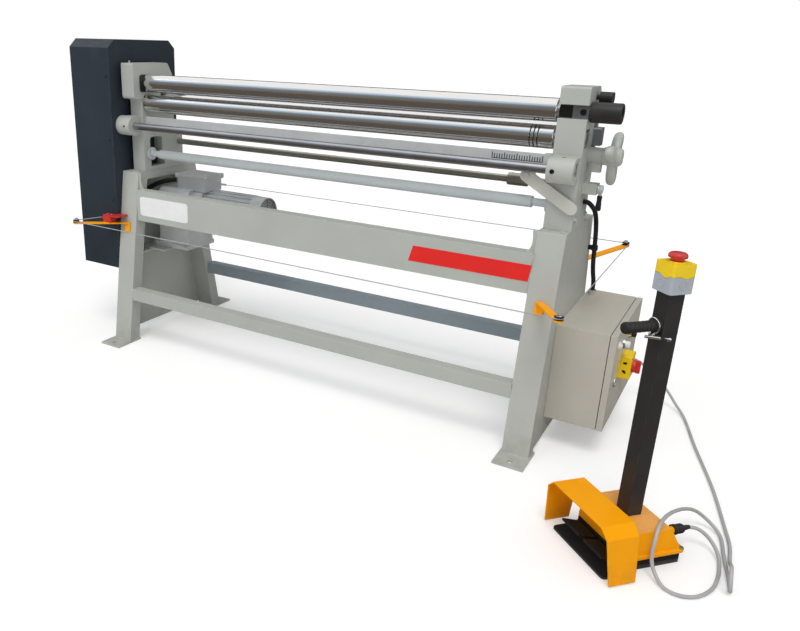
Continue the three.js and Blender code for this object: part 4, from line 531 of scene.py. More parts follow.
def piece(name, bm, body, slot=None, look=None, place=MACHINE, bevel=0.0, segments=2, angle=35.0,
          instead_of=()):
    """Finished mesh object that rides on a body, with the slot's material unless a look is named."""
    bmesh.ops.recalc_face_normals(bm, faces=bm.faces)
    bm.transform(place)
    mesh = bpy.data.meshes.new(name)
    bm.to_mesh(mesh)
    bm.free()
    obj = bpy.data.objects.new(name, mesh)
    scene.collection.objects.link(obj)
    mesh.materials.append(LOOKS[look or slot])
    for polygon in mesh.polygons:
        polygon.use_smooth = True
    bpy.context.view_layer.objects.active = obj
    obj.select_set(True)
    if bevel:
        made = obj.modifiers.new("bevel", "BEVEL")
        made.width = bevel / 1000
        made.segments = segments
        made.limit_method = "ANGLE"
        made.angle_limit = math.radians(angle)
    with bpy.context.temp_override(object=obj, active_object=obj, selected_editable_objects=[obj]):
        bpy.ops.object.shade_smooth_by_angle(angle=math.radians(angle))
    obj.select_set(False)
    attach(obj, body)
    if instead_of:
        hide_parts(*instead_of)
    return obj


# The free cable comes first among the pieces; the x of its points is counted from CABLE_X
CABLE_X = 844
CABLE_POINTS = [
    (431, -291.8, 60), (444, -277.6, 59), (464.9, -260.1, 50.9), (487.2, -256, 36.6),
    (508.9, -270.1, 20), (521.9, -301.8, 7.6), (518, -412, 5.3), (487.5, -465.5, 4.9),
    (453.9, -482.4, 5.4), (421.1, -474.6, 6.4), (391.7, -447.5, 29.4), (384, -436.3, 55.5),
    (383.8, -422.5, 89.5), (384.7, -398, 106), (394.9, -333.1, 105.8), (424.2, -239.9, 82),
    (451.1, -180.1, 52.1), (472, -162, 32), (493.5, -163, 16.9), (513.5, -182.9, 7.4),
    (530.7, -276.9, 5.5), (544.2, -354, 8.2), (550.5, -389.9, 5), (551.3, -411.7, 11.5),
    (549.5, -420.8, 27.8), (547, -415.3, 46.5), (544.7, -392.6, 57.2), (544.6, -343, 33.6),
    (543.2, -295.6, 11.9), (538.9, -216.7, 6), (520.8, -131.8, 5.3), (481.2, 39.6, 5),
    (411.5, 276.1, 6), (355, 476.3, 8.5), (324.5, 522.8, 23.5), (283.5, 544.6, 63.4),
    (224.2, 540.1, 119.4), (176.2, 526.1, 150.6), (148, 496, 164), (141, 468.9, 165),
]
cable_line = smooth_route([mm(x + CABLE_X, y, z) for x, y, z in CABLE_POINTS], 10)
cable_data = bpy.data.curves.new("pedal_cable_sheath", "CURVE")
cable_data.dimensions = "3D"
cable_data.bevel_depth = 0.0045
cable_data.bevel_resolution = 4
cable_data.use_fill_caps = True
spline = cable_data.splines.new("POLY")
spline.points.add(len(cable_line) - 1)
for knot, point in zip(spline.points, cable_line):
    knot.co = (*point, 1.0)
cable_piece = bpy.data.objects.new("pedal_cable_sheath", cable_data)
scene.collection.objects.link(cable_piece)
cable_data.materials.append(LOOKS["cable_grey"])
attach(cable_piece, FRAME)
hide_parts("pedal_cable")


def boot(name, start, direction, length, wide, narrow):
    """Tapered and ribbed strain relief round the cable."""
    bore, ribs, deep = 4.6, 6, 0.9
    step = length / ribs
    profile = [(bore, length), (narrow * 0.98, length), (narrow, length - 0.8)]
    for k in range(ribs):
        radius = narrow + (wide - narrow) * (k + 1) / ribs
        high = length - k * step - 1.2
        profile += [(radius - deep, high), (radius - deep, high - step * 0.35), (radius, high - step * 0.45)]
    profile += [(wide, 0), (bore, 0)]
    bm = bmesh.new()
    lathe(bm, profile, start, direction, 32)
    return piece(name, bm, FRAME, "black_plastic")


rearward = (-math.sin(TURN), math.cos(TURN), 0)
pedal_boot = boot("pedal_cable_boot", (1275.0, -291.8, 60.0), rearward, 20.0, 7.2, 5.0)
cabinet_boot = boot("cabinet_cable_boot", (985.0, 468.4, 165.0), (0.03, 1, -0.02), 22.0, 8.0, 5.0)


# Axes of what lies along x, as (y, z)
TOP_AXIS = (72.6, 996)
LOWER_AXIS = (72.6, 922.5)
REAR_AXIS = (165, 925)
BAR_AXIS = (10, 842)
TIE_AXIS = (77, 735)
CROSS_AXIS = (240, 767)
KNOB_AXIS = (126, 877)
MOTOR_AXIS = (200, 535)
LEAD_AXIS = (175, 625)
LATCH_AXIS = (110, 225)
ISOLATOR_AXIS = (218, 247)

# Rolls: half length and radius of the barrel, radius of the journals
ROLL_HALF = 761
ROLL_RADIUS = 32.5
JOURNAL = 17
GROOVE = {"count": 3, "wide": 3, "deep": 3, "pitch": 11, "inset": 44}
PINCH_GEAR = {"module": 3.75, "teeth": 18, "low": -876, "high": -860}
DRIVE_WHEEL = {"module": 4, "teeth": 36, "low": -898, "high": -882}

# Outer faces of the machine
BEAM_FRONT = -17
BOSS_FRONT = -25.8
FRAME_RIGHT = 845.8
DOOR_RIGHT = 1015
COVER = {"left": -1045.5, "inner": -866, "front": -41, "rear": 318}


def along_x(y, z):
    """Local u is y, local v is z, and height is x."""
    return Matrix(((0, 0, 1, 0), (1, 0, 0, y), (0, 1, 0, z), (0, 0, 0, 1)))


def along_y(y):
    """Local u is x, local v is z, and height goes to the front."""
    return Matrix(((1, 0, 0, 0), (0, 0, -1, y), (0, 1, 0, 0), (0, 0, 0, 1)))


def turned(bm, profile, axis, segments):
    """Turned form along x, with heights that are x."""
    lathe(bm, profile, (0, *axis), X_AXIS, segments)


# Rolls
def roll_profile(left, right, grooves=()):
    """Barrel with chamfered ends between two journals, as (radius, x)."""
    chamfer, collar, shoulder = 1.6, 5, JOURNAL + 2
    profile = [(0, left), (JOURNAL - 1, left), (JOURNAL, left + 1), (JOURNAL, -ROLL_HALF - collar - 1)]
    profile += [(shoulder, -ROLL_HALF - collar), (shoulder, -ROLL_HALF)]
    profile += [(ROLL_RADIUS - chamfer, -ROLL_HALF), (ROLL_RADIUS, -ROLL_HALF + chamfer)]
    floor, lip, slant = ROLL_RADIUS - GROOVE["deep"], ROLL_RADIUS - 0.6, 0.5
    for start in grooves:
        end = start + GROOVE["wide"]
        profile += [(ROLL_RADIUS, start - slant), (lip, start), (floor, start + slant)]
        profile += [(floor, end - slant), (lip, end), (ROLL_RADIUS, end + slant)]
    profile += [(ROLL_RADIUS, ROLL_HALF - chamfer), (ROLL_RADIUS - chamfer, ROLL_HALF)]
    profile += [(shoulder, ROLL_HALF), (shoulder, ROLL_HALF + collar), (JOURNAL, ROLL_HALF + collar + 1)]
    return profile + [(JOURNAL, right - 1), (JOURNAL - 1, right), (0, right)]


def gear(bm, wheel, axis, phase):
    """Straight-flanked gear along x, with a tooth at the phase in degrees."""
    backlash, addendum, dedendum, flank_angle = 1.2, 0.86, 1.25, 20
    module, teeth = wheel["module"], wheel["teeth"]
    pitch = module * teeth / 2
    tip = pitch + module * addendum
    root = pitch - module * dedendum
    half = math.pi / (2 * teeth) - backlash / (2 * pitch)
    slope = math.tan(math.radians(flank_angle)) / pitch
    at_root = half + (pitch - root) * slope
    at_tip = half - (tip - pitch) * slope
    points = []
    for i in range(teeth):
        centre = math.radians(phase) + i * 2 * math.pi / teeth
        for radius, angle in ((root, -at_root), (tip, -at_tip), (tip, at_tip), (root, at_root)):
            points.append((radius * math.cos(centre + angle), radius * math.sin(centre + angle)))
    prism(bm, points, along_x(*axis), wheel["low"], wheel["high"])


def top_roll():
    bm = bmesh.new()
    turned(bm, roll_profile(-902, 875.7), TOP_AXIS, 96)
    gear(bm, PINCH_GEAR, TOP_AXIS, -90)
    gear(bm, DRIVE_WHEEL, TOP_AXIS, -30)
    piece("top_roll_turned", bm, "top_roll_body", "roll_steel", instead_of=["top_roll"])


def lower_roll():
    last = ROLL_HALF - GROOVE["inset"]
    starts = [last - GROOVE["pitch"] * k for k in reversed(range(GROOVE["count"]))]
    bm = bmesh.new()
    turned(bm, roll_profile(-876, 845.7, starts), LOWER_AXIS, 96)
    gear(bm, PINCH_GEAR, LOWER_AXIS, 100)
    piece("lower_roll_turned", bm, "lower_roll_body", "roll_steel", instead_of=["lower_roll"])
    groove_painted_shade(starts)


def groove_painted_shade(starts):
    """Dark rings painted as the shade deep in the wire grooves."""
    bm = bmesh.new()
    inner, outer, gap = 30.2, 31.9, 0.2
    for start in starts:
        low, high = start + gap, start + GROOVE["wide"] - gap
        turned(bm, [(inner, low), (outer, low), (outer, high), (inner, high), (inner, low)], LOWER_AXIS, 96)
    piece("groove_painted_shade", bm, "lower_roll_body", look="groove_shade_black")


def rear_roll():
    bm = bmesh.new()
    turned(bm, roll_profile(-824.7, 856), REAR_AXIS, 96)
    piece("rear_roll_turned", bm, "rear_roll_body", "roll_steel", instead_of=["rear_roll"])


def tail_sleeve():
    bm = bmesh.new()
    turned(bm, [(17.4, 848), (25.5, 848), (27.5, 850), (27.5, 924), (26.3, 927.2), (24.6, 928),
                (20.4, 928), (19.2, 926.6), (19, 925), (19, 877), (17.4, 876.2), (17.4, 848)],
           TOP_AXIS, 72)
    piece("tail_sleeve_turned", bm, "top_roll_body", "black_paint", instead_of=["roll_tail_sleeve"])


# Round bars
def front_bar():
    bm = bmesh.new()
    turned(bm, [(0, -843), (11.6, -843), (13.2, -841.4), (13.2, 840.4), (11.6, 842), (0, 842)],
           BAR_AXIS, 56)
    piece("front_bar_turned", bm, "front_bar_body", "roll_steel", "drawn_steel",
          instead_of=["front_bar"])


def tie_tube():
    """Tube with a flange and a neck at each end, both ends alike about x = 1."""
    bm = bmesh.new()
    end = [(0, -764.7), (23, -764.7), (24, -763.7), (24, -757.4), (23, -756.7), (13.4, -756.7),
           (11.5, -754.8), (11.5, -719), (15.6, -716.7), (17, -715.2)]
    turned(bm, end + [(radius, 2 - x) for radius, x in reversed(end)], TIE_AXIS, 48)
    piece("tie_tube_turned", bm, FRAME, "blue_grey", "tube_grey", instead_of=["tie_tube"])


def cross_shaft():
    bm = bmesh.new()
    turned(bm, [(0, -824.7), (10.2, -824.7), (11, -823.9), (11, 590), (17.6, 591), (19, 592.4),
                (19, 653.6), (17.6, 655), (11, 656), (11, 833.2), (10.2, 834), (0, 834)],
           CROSS_AXIS, 40)
    y, z = CROSS_AXIS
    for x in (604, 642):
        socket_screw(bm, (x, y, z + 18.2), Z_AXIS, 3.4, 1.6)
    piece("cross_shaft_turned", bm, "rear_cross_shaft_body", "dark_steel", "olive_steel",
          instead_of=["rear_cross_shaft"])


# Hand knob, in layers that swell towards its middle
def knob_outline(shrink):
    """Three round lobes about a hub."""
    count, lobes, first, hub, reach, narrowness = 120, 3, math.radians(-75), 24, 60, 1.7
    points = []
    for i in range(count):
        angle = 2 * math.pi * i / count
        lobe = (0.5 + 0.5 * math.cos(lobes * (angle - first))) ** narrowness
        radius = hub + reach * lobe - shrink
        points.append((radius * math.cos(angle), radius * math.sin(angle)))
    return points


def hand_knob():
    bm = bmesh.new()
    swell = ((899.5, 9), (901, 5.5), (904, 2.2), (908, 0.4), (911, 0), (914, 0.4), (918, 2.4),
             (921, 6), (922.5, 10))
    place = along_x(*KNOB_AXIS)
    skin(bm, [[bm.verts.new(place @ Vector((u, v, x))) for u, v in knob_outline(shrink)]
              for x, shrink in swell])
    turned(bm, [(0, 850), (11, 850), (11, 885.3), (22, 885.3), (24.4, 887), (25, 890), (25, 926),
                (24, 931), (20, 935), (14, 936), (9, 935.6), (8, 933), (0, 932.6)], KNOB_AXIS, 56)
    piece("hand_knob_cast", bm, "hand_knob_body", "frame_grey", angle=50, instead_of=["hand_knob"])


# Side frames
def frame_darks():
    """Black seal at the top roll's left end, and black plates behind the left frame's openings, painted as
    the shade inside them.
    """
    bm = bmesh.new()
    prism(bm, round_rectangle(30, 103, 965, 1027, 10, 4), along_x(0, 0), -763, -761.4)
    piece("top_end_seal", bm, "top_carriage", "black_plastic", bevel=0.4)
    bm = bmesh.new()
    # Black plates painted as the shade seen through the left frame's openings.
    for box in ((74, 140, 738, 796), (77, 153, 687, 721)):
        prism(bm, round_rectangle(*box, 12, 5), along_x(0, 0), -824, -806)
    piece("left_frame_shade_plates", bm, FRAME, "black_plastic")


def scale_ticks():
    """Ticks without numbers on the scale bar, every fifth one longer."""
    bm = bmesh.new()
    first, pitch, count = 592, 7.3, 21
    block(bm, first, first + pitch * (count - 1), 53.5, 54.2, 852, 853.6)
    for k in range(count):
        x = first + k * pitch
        block(bm, x - 1.2, x + 1.2, 53.4, 54.2, 853, 870 if k % 5 == 0 else 866)
    piece("scale_ticks", bm, FRAME, look="ink")


def blank_plates():
    """Plates without print on the upper beam and on the door."""
    bm = bmesh.new()
    prism(bm, round_rectangle(-746, -509, 510, 583, 12, 8), along_y(BEAM_FRONT), -0.2, 0.9)
    piece("blank_plate", bm, FRAME, "white_plastic", "sticker_white", bevel=0.3)
    bm = bmesh.new()
    prism(bm, [(382, 522), (758, 522), (764, 572), (396, 572)], along_y(BEAM_FRONT), -0.2, 0.7)
    piece("blank_band", bm, FRAME, "red_plastic", "sticker_red", bevel=0.25)
    bm = bmesh.new()
    prism(bm, round_rectangle(106, 181, 216, 290, 3, 4), along_x(0, 0), DOOR_RIGHT - 0.2, DOOR_RIGHT + 0.7)
    piece("blank_door_plate", bm, "door", "yellow_plastic", "pale_yellow", bevel=0.3)


def frame_fasteners():
    """Bolts and screws of the side frames, and black marks painted as shade in their recesses and beside a
    bearing block.
    """
    bm = bmesh.new()
    stand_top = 669
    for x, y in ((785, 20), (828, 20), (-808, 20), (-782, 20), (787, 222), (826, 222)):
        socket_screw(bm, (x, y, stand_top), Z_AXIS, 5.4, 4)
    piece("frame_bolts", bm, FRAME, "frame_grey")

    bm = bmesh.new()
    # Black marks painted as shade: in the bosses' sockets, and as two thin lines.
    lathe(bm, [(0, 0), (6.4, 0), (6.4, 1.4), (4.2, 1.8), (3.8, 0.6), (0, 0.6)],
          (787, BOSS_FRONT, 842), FRONTWARD, 28)
    lathe(bm, [(0, 0), (4, 0), (4, 1.2), (2.6, 1.5), (0, 0.8)], (-800, BOSS_FRONT, 842), FRONTWARD, 24)
    block(bm, 800, 812, 8.6, 11.4, 877.4, 878.5)
    block(bm, 841.5, 842.9, 6.5, 9.5, 852, 866)
    piece("boss_painted_shade", bm, FRAME, look="ink")

    bm = bmesh.new()
    for y in (60, 180):
        hex_bolt(bm, (FRAME_RIGHT, y, 700), X_AXIS, 12, 6)
    socket_screw(bm, (FRAME_RIGHT, 22, 862), X_AXIS, 5.0, 3.0)
    piece("frame_screws", bm, FRAME, "frame_grey")

    bm = bmesh.new()
    socket_screw(bm, (831, 51, 996), FRONTWARD, 8.5, 2.6)
    # Black strip painted as the shadow where the bearing block is set back.
    block(bm, 768, 803, 50.2, 51.6, 979.5, 1012.5)
    piece("bearing_screw_and_painted_shadow", bm, "top_carriage", look="ink")


def levers():
    """Screw of the stop lever, grip and hub of the clamp lever."""
    bm = bmesh.new()
    socket_screw(bm, (705, 26.2, 816), FRONTWARD, 6.5, 2.4)
    piece("stop_lever_screw", bm, "stop_lever_body", "frame_grey", "lever_cream")

    arm = (893, 120, 0)
    bm = bmesh.new()
    lathe(bm, [(0, 724), (5, 724), (7.4, 726), (8, 730), (7.6, 742), (6.4, 752), (7.2, 762), (6.8, 766),
               (5, 768), (0, 768)], arm, Z_AXIS, 36)
    piece("clamp_lever_grip", bm, "clamp_lever_body", "black_plastic", instead_of=["clamp_lever"])
    bm = bmesh.new()
    lathe(bm, [(0, 765), (5, 765), (5, 779), (6, 781), (0, 781)], arm, Z_AXIS, 28)
    turned(bm, [(0, 885), (12, 885), (12, 897), (10.5, 899), (0, 899)], (120, 785), 36)
    piece("clamp_lever_hub", bm, "clamp_lever_body", "cast_alloy", bevel=0.8)


# Drive, with the places of the terminal box's screw ears
EAR_PLACES = [(x, y) for x in (-701, -559) for y in (149, 251)]


def cover_screws():
    """Domed screws of the gear cover, in rows up its side, front and back."""
    heights = (330, 560, 790, 1020)
    wide = [(0, 0), (6.5, 0), (6.5, 1), (5.6, 2.6), (3, 3.4), (0, 2.2)]
    narrow = [(0, 0), (6, 0), (6, 1), (5.2, 2.4), (3, 3.2), (0, 2.2)]
    bm = bmesh.new()
    for y in (-20, 297):
        for z in heights:
            lathe(bm, wide, (COVER["left"], y, z), (-1, 0, 0), 24)
    for z in heights:
        lathe(bm, narrow, (COVER["inner"], COVER["front"], z), FRONTWARD, 24)
        lathe(bm, narrow, (COVER["inner"], COVER["rear"], z), Y_AXIS, 24)
    piece("cover_screws", bm, FRAME, "cover_blue")


def motor_grille():
    """Rings and bars of the fan cowl."""
    y, z = MOTOR_AXIS
    grille_x, reach = -303, 61.4
    bm = bmesh.new()
    for radius in (16, 26, 36, 46, 56):
        tube(bm, circle((grille_x, y, z), radius, 48, Y_AXIS), 1.1, 8, caps=False)
    for k in range(4):
        dy = reach * math.cos(k * math.pi / 4)
        dz = reach * math.sin(k * math.pi / 4)
        tube(bm, [(grille_x, y - dy, z - dz), (grille_x, y + dy, z + dz)], 1.3, 8)
    turned(bm, [(0, -306), (9, -306), (9, -302), (7, -300.6), (0, -300.4)], MOTOR_AXIS, 24)
    piece("motor_grille", bm, FRAME, "dark_steel")


def drive_bolts():
    """Lid screws of the terminal box, and bolts of the motor's flange and the gearbox's feet."""
    y, z = MOTOR_AXIS
    ear_top, bolt_circle, under_box, flange_x = 657, 67, 590, -590
    bm = bmesh.new()
    for at_x, at_y in EAR_PLACES:
        pan_screw(bm, (at_x, at_y, ear_top), Z_AXIS, 4.2)
    for k in range(8):
        angle = (k + 0.5) * math.pi / 4
        bolt = (flange_x, y + bolt_circle * math.cos(angle), z + bolt_circle * math.sin(angle))
        if bolt[2] < under_box:
            hex_bolt(bm, bolt, (-1, 0, 0), 8, 5, washer=False)
    for at_x in (-792, -630):
        for at_y in (110, 267):
            hex_bolt(bm, (at_x, at_y, 373.3), Z_AXIS, 12, 7)
    piece("drive_bolts", bm, FRAME, "dark_steel", "zinc")


def terminal_box():
    """Screw ears, raised lid and two blind glands."""
    bm = bmesh.new()
    for at_x, at_y in EAR_PLACES:
        lathe(bm, [(0, 640), (7, 640), (8.5, 644), (8.5, 655), (7.6, 657), (0, 657)], (at_x, at_y, 0),
              Z_AXIS, 24)
    prism(bm, round_rectangle(-694, -566, 156, 244, 10, 4), Matrix(), 656.8, 659.2)
    for x in (-672, -588):
        lathe(bm, [(0, 0), (10, 0), (10, 9), (8.4, 12), (0, 12)], (x, 250, 618), Y_AXIS, 24)
    piece("terminal_box_ears", bm, FRAME, "cast_alloy", bevel=0.8)


def motor_lead():
    bm = bmesh.new()
    turned(bm, [(10, -719), (11, -716), (12.6, -712), (14.2, -712), (14.2, -703), (12.8, -701),
                (12.8, -698), (10, -698)], LEAD_AXIS, 24)
    piece("lead_gland", bm, FRAME, "black_plastic", bevel=0.6)

    route = [(-716.6, 175, 625), (-724, 175, 625), (-742, 169, 623), (-768, 152, 617), (-795, 132, 606),
             (-814, 117, 594), (-828, 113, 588), (-835, 112.5, 587), (-840.1, 112.5, 587)]
    bm = bmesh.new()
    tube(bm, smooth_route(route, 8), 9, 20)
    piece("motor_lead_sheath", bm, FRAME, "black_plastic", instead_of=["motor_lead"])


def conduit():
    """Corrugated conduit with its clip, its screw and the gland on the cabinet."""
    route = [(846.9, 143, 741), (852, 143, 741), (857, 150, 739), (861, 170, 731), (863, 205, 716),
             (863, 243, 699), (863, 282, 669), (863, 313, 622), (863, 334, 565), (863, 346, 520),
             (864, 366, 478), (865.5, 385, 448), (866, 395, 426), (866, 396, 418), (866, 396, 410.6)]
    step, mean_radius, rib_high, rib_pitch, rib_long = 0.75, 6.45, 0.55, 3.0, 1.6
    line = smooth_route(route, 60)
    even = [line[0]]
    for point in line:
        if (point - even[-1]).length >= step:
            even.append(point)
    even.append(line[-1])
    bm = bmesh.new()
    tube(bm, even, lambda s: mean_radius + rib_high * (1 if s % rib_pitch < rib_long else -1), 20)
    lathe(bm, [(7.2, -7), (10, -7), (10, 7), (7.2, 7), (7.2, -7)], (863, 334, 565), (0, 0.36, -0.93), 28)
    block(bm, 844.3, 863, 329, 339, 558, 572)
    socket_screw(bm, (852, 329, 565), FRONTWARD, 4, 3)
    piece("conduit_corrugated", bm, FRAME, "black_plastic", instead_of=["conduit"])

    x, y = 866, 396
    bm = bmesh.new()
    prism(bm, [(x + u, y + v) for u, v in hexagon(13)], Matrix(), 396, 402)
    lathe(bm, [(7.4, 402), (12, 402), (12, 407), (10.4, 410.5), (7.4, 410.5), (7.4, 402)], (x, y, 0),
          Z_AXIS, 32)
    piece("conduit_gland", bm, FRAME, "black_plastic", bevel=0.5)


# Cabinet
def door_seal():
    """Flat rubber frame in the seam between the cabinet and its door."""
    outer = round_rectangle(35.5, 452, 96, 392, 3, 3)
    inner = round_rectangle(38.5, 449, 99, 389, 1, 3)
    back, front = 995.2, 996.9
    bm = bmesh.new()
    sections = [
        [bm.verts.new((x, *at)) for x, at in ((back, out), (front, out), (front, into), (back, into))]
        for out, into in zip(outer, inner)
    ]
    skin(bm, sections + sections[:1], caps=False)
    piece("door_seal", bm, FRAME, "black_plastic", "rubber")


def door_lock():
    """Lock's face with its slot, barrel and cam."""
    bm = bmesh.new()
    turned(bm, [(0, 1015.3), (15, 1015.3), (15, 1017.6), (13.6, 1019.2), (9.2, 1019.3), (8.6, 1017.4),
                (0, 1017.4)], LATCH_AXIS, 40)
    block(bm, 1017.2, 1019.6, 104, 116, 223, 227)
    turned(bm, [(0, 1008.7), (8, 1008.7), (8, 1015.4), (0, 1015.4)], LATCH_AXIS, 24)
    block(bm, 1008.7, 1012.7, 102, 118, 217, 257)
    piece("door_lock", bm, "door_latch_body", "roll_steel", "chrome", instead_of=["door_latch"])


def isolator():
    """Red handle with a waisted grip, the screws of its yellow body, and black patches painted as the shade
    in its slots.
    """
    bm = bmesh.new()
    turned(bm, [(0, 1045.6), (20, 1045.6), (20, 1052), (18.4, 1055), (12, 1057), (0, 1057)],
           ISOLATOR_AXIS, 48)
    grip = [(-7, -20), (7, -20), (8.4, -14), (5, 0), (4.4, 14), (3, 20), (-3, 20), (-4.4, 14), (-5, 0),
            (-8.4, -14)]
    prism(bm, grip, along_x(*ISOLATOR_AXIS), 1055, 1068.6)
    piece("isolator_handle", bm, "isolator_knob_body", "red_plastic", bevel=1.6, segments=3,
          instead_of=["isolator_knob"])

    slot_from, front = 1024, 185
    # Black patches painted as the shade inside the body's two slots.
    bm = bmesh.new()
    for z in (236, 262):
        outline = round_rectangle(-1.5, 7.5, z - 3.5, z + 3.5, 2.2, 3)
        prism(bm, outline, Matrix.Translation((slot_from, 0, 0)) @ along_y(front), -0.4, 0.5)
    piece("isolator_slot_shade", bm, "door", look="ink")
    bm = bmesh.new()
    for y in (191, 244):
        for z in (216, 279):
            pan_screw(bm, (1045.3, y, z), X_AXIS, 2.6)
    piece("isolator_screws", bm, "door", "dark_steel")


def push_button(name, y, cap):
    bm = bmesh.new()
    turned(bm, [(0, 1021.8), (11, 1021.8), (11, 1032.6), (9.8, 1034.6), (7, 1035.3), (0, 1034.7)],
           (y, 330), 40)
    piece(name + "_cap", bm, name + "_body", "white_plastic", cap, instead_of=[name])
    bm = bmesh.new()
    turned(bm, [(11.7, 1015.1), (15.4, 1015.1), (15.4, 1017.2), (14.2, 1019), (14.2, 1022), (13.4, 1023),
                (11.7, 1023), (11.7, 1015.1)], (y, 330), 40)
    piece(name + "_ring", bm, "door", "roll_steel", "chrome")


def door_fittings():
    push_button("start_button", 165, "white_plastic")
    push_button("stop_button", 275, "black_plastic")
    bm = bmesh.new()
    turned(bm, [(0, 1014), (11, 1014), (11, 1017.2), (9.6, 1019), (9, 1021.6), (6.4, 1025), (0, 1026.2)],
           (80, 352), 36)
    piece("lamp_lens", bm, "door", "white_plastic")


# Safety rope
def pulley(name, at):
    """Grooved wheel, and the nut on its pin."""
    bm = bmesh.new()
    lathe(bm, [(4.3, -5), (11.8, -5), (13, -4.2), (13, -3), (9, -2.4), (9, 2.4), (13, 3), (13, 4.2),
               (11.8, 5), (4.3, 5), (4.3, -5)], at, Z_AXIS, 40)
    piece(name + "_turned", bm, name + "_body", "black_plastic", instead_of=[name])
    bm = bmesh.new()
    x, y, z = at
    hex_bolt(bm, (x, y, z + 5.4), Z_AXIS, 10, 5)
    piece(name + "_nut", bm, FRAME, "dark_steel", "zinc")


def safety_rope():
    pulley("front_left_pulley", (-957, -150, 481.4))
    pulley("front_right_pulley", (886, -150, 479))
    pulley("rear_right_pulley", (901, 700, 508))
    arm_top = 505.4
    bm = bmesh.new()
    hex_bolt(bm, (-990, 700, arm_top + 9), Z_AXIS, 10, 5)
    for x in (-878, -853):
        pan_screw(bm, (x, -65, arm_top), Z_AXIS, 3)
    piece("switch_screws", bm, FRAME, "dark_steel", "zinc")


# Foot pedal unit, in its own frame
def pedal_ribs(name, near, far):
    """Seven raised ribs that follow the pedal's slope."""
    first, pitch, slope, inset = 34, 5.4, -14 / 46, 5
    foot, crest, sunk, high = 1.1, 0.7, 1.2, 1.3
    bm = bmesh.new()
    for k in range(7):
        b = first + k * pitch
        top = 44 + (b - 30) * slope
        outline = [(b - foot, top - sunk), (b + foot, top - sunk + 2 * foot * slope), (b + crest, top + high),
                   (b - crest, top + high - 2 * crest * slope)]
        prism(bm, outline, along_x(0, 0), near + inset, far - inset)
    piece(name + "_ribs", bm, name + "_body", "black_plastic", place=PEDAL, bevel=0.3)


def pedal_cover():
    """Screws in the cover's ears, and its rough top."""
    bm = bmesh.new()
    for a in (26, 210):
        for b in (96, 240):
            lathe(bm, [(0, 41.4), (6.4, 41.4), (6.4, 44), (5.4, 45), (3.2, 45), (3, 43), (0, 43)],
                  (a, b, 0), Z_AXIS, 24)
    piece("cover_ear_screws", bm, FRAME, "dark_steel", place=PEDAL)
    bm = bmesh.new()
    block(bm, 34, 202, 104, 206, 96.6, 97.5)
    piece("cover_rough_top", bm, FRAME, "orange_paint", "rough_orange", place=PEDAL, bevel=0.4)


def pedal_gland():
    """Gland of the free cable, with nine grip ribs round its nut."""
    a, z, rib_circle = 165.6, 60, 11.2
    bm = bmesh.new()
    lathe(bm, [(9.1, 249), (13, 249), (13, 256), (11.6, 257.5), (11.2, 258), (11.2, 276), (10.4, 278.4),
               (4.6, 278.4), (4.6, 278.1), (9.1, 278.1), (9.1, 249)], (a, 0, z), Y_AXIS, 32)
    for k in range(9):
        at = Matrix.Rotation(2 * math.pi * k / 9, 3, "Y") @ Vector((rib_circle, 0, 0))
        tube(bm, [(a + at.x, 259, z + at.z), (a + at.x, 275.5, z + at.z)], 0.9, 8)
    piece("pedal_gland", bm, FRAME, "black_plastic", place=PEDAL)


def post_handle():
    """Rubber grip, ring and lever of the post's handle."""
    a, z, end = 118, 583, 45.4
    bm = bmesh.new()
    shoulder = [(0, end), (9, end), (12, end + 1.6), (13.4, end + 4.6), (13.6, end + 10.6),
                (12.2, end + 13.6)]
    ridges = [(12.2 + 0.7 * (k % 2), end + 16.6 + k * 5.2) for k in range(12)]
    lathe(bm, shoulder + ridges + [(12.6, 134), (0, 134)], (a, 0, z), Y_AXIS, 40)
    piece("handle_grip", bm, FRAME, "black_plastic", "rubber", place=PEDAL)

    bm = bmesh.new()
    ring_y = 125
    tube(bm, circle((a, ring_y, z), 17.6, 40, X_AXIS), 1.8, 10, caps=False)
    lathe(bm, [(0, 554), (7.4, 554), (8, 556), (8, 564), (7, 566), (0, 566)], (a, ring_y, 0), Z_AXIS, 32)
    lathe(bm, [(0, -10), (3.6, -10), (3.6, 36), (4.6, 38), (4.6, 42), (3.6, 43.6), (0, 43.6)],
          (128, 110, 561), (0.59, 0.81, 0), 28)
    lathe(bm, [(0, 0), (4.2, 0), (4.2, 15), (0, 15)], (a, 122, 561), (0.64, -0.77, 0), 24)
    piece("handle_lever", bm, FRAME, "roll_steel", "chrome", place=PEDAL)


# Stop box on the post: its middle, half the width between its corners, and its face from the middle
BOX = {"a": 118, "b": 154, "half": 24, "out": 30}


def mushroom():
    bm = bmesh.new()
    lathe(bm, [(0, 716), (13.6, 716), (14, 717), (14, 736), (14.6, 737), (19.4, 738.4), (20, 740.4),
               (20, 743.6), (19, 746), (16, 748.4), (10, 749.7), (0, 750)], (BOX["a"], BOX["b"], 0),
          Z_AXIS, 64)
    piece("mushroom_head", bm, "emergency_button_body", "red_plastic", place=PEDAL,
          instead_of=["emergency_button"])


def stop_box_collar():
    """Collar under the mushroom, and the lid's four screws."""
    a, b, half = BOX["a"], BOX["b"], BOX["half"]
    bm = bmesh.new()
    lathe(bm, [(14.4, 727.6), (17.6, 727.6), (17.6, 729.6), (16.8, 730.6), (14.4, 730.6), (14.4, 727.6)],
          (a, b, 0), Z_AXIS, 48)
    for screw_a in (a - half, a + half):
        for screw_b in (b - half, b + half):
            pan_screw(bm, (screw_a, screw_b, 727.8), Z_AXIS, 2.8)
    piece("stop_box_collar", bm, FRAME, "yellow_plastic", place=PEDAL)


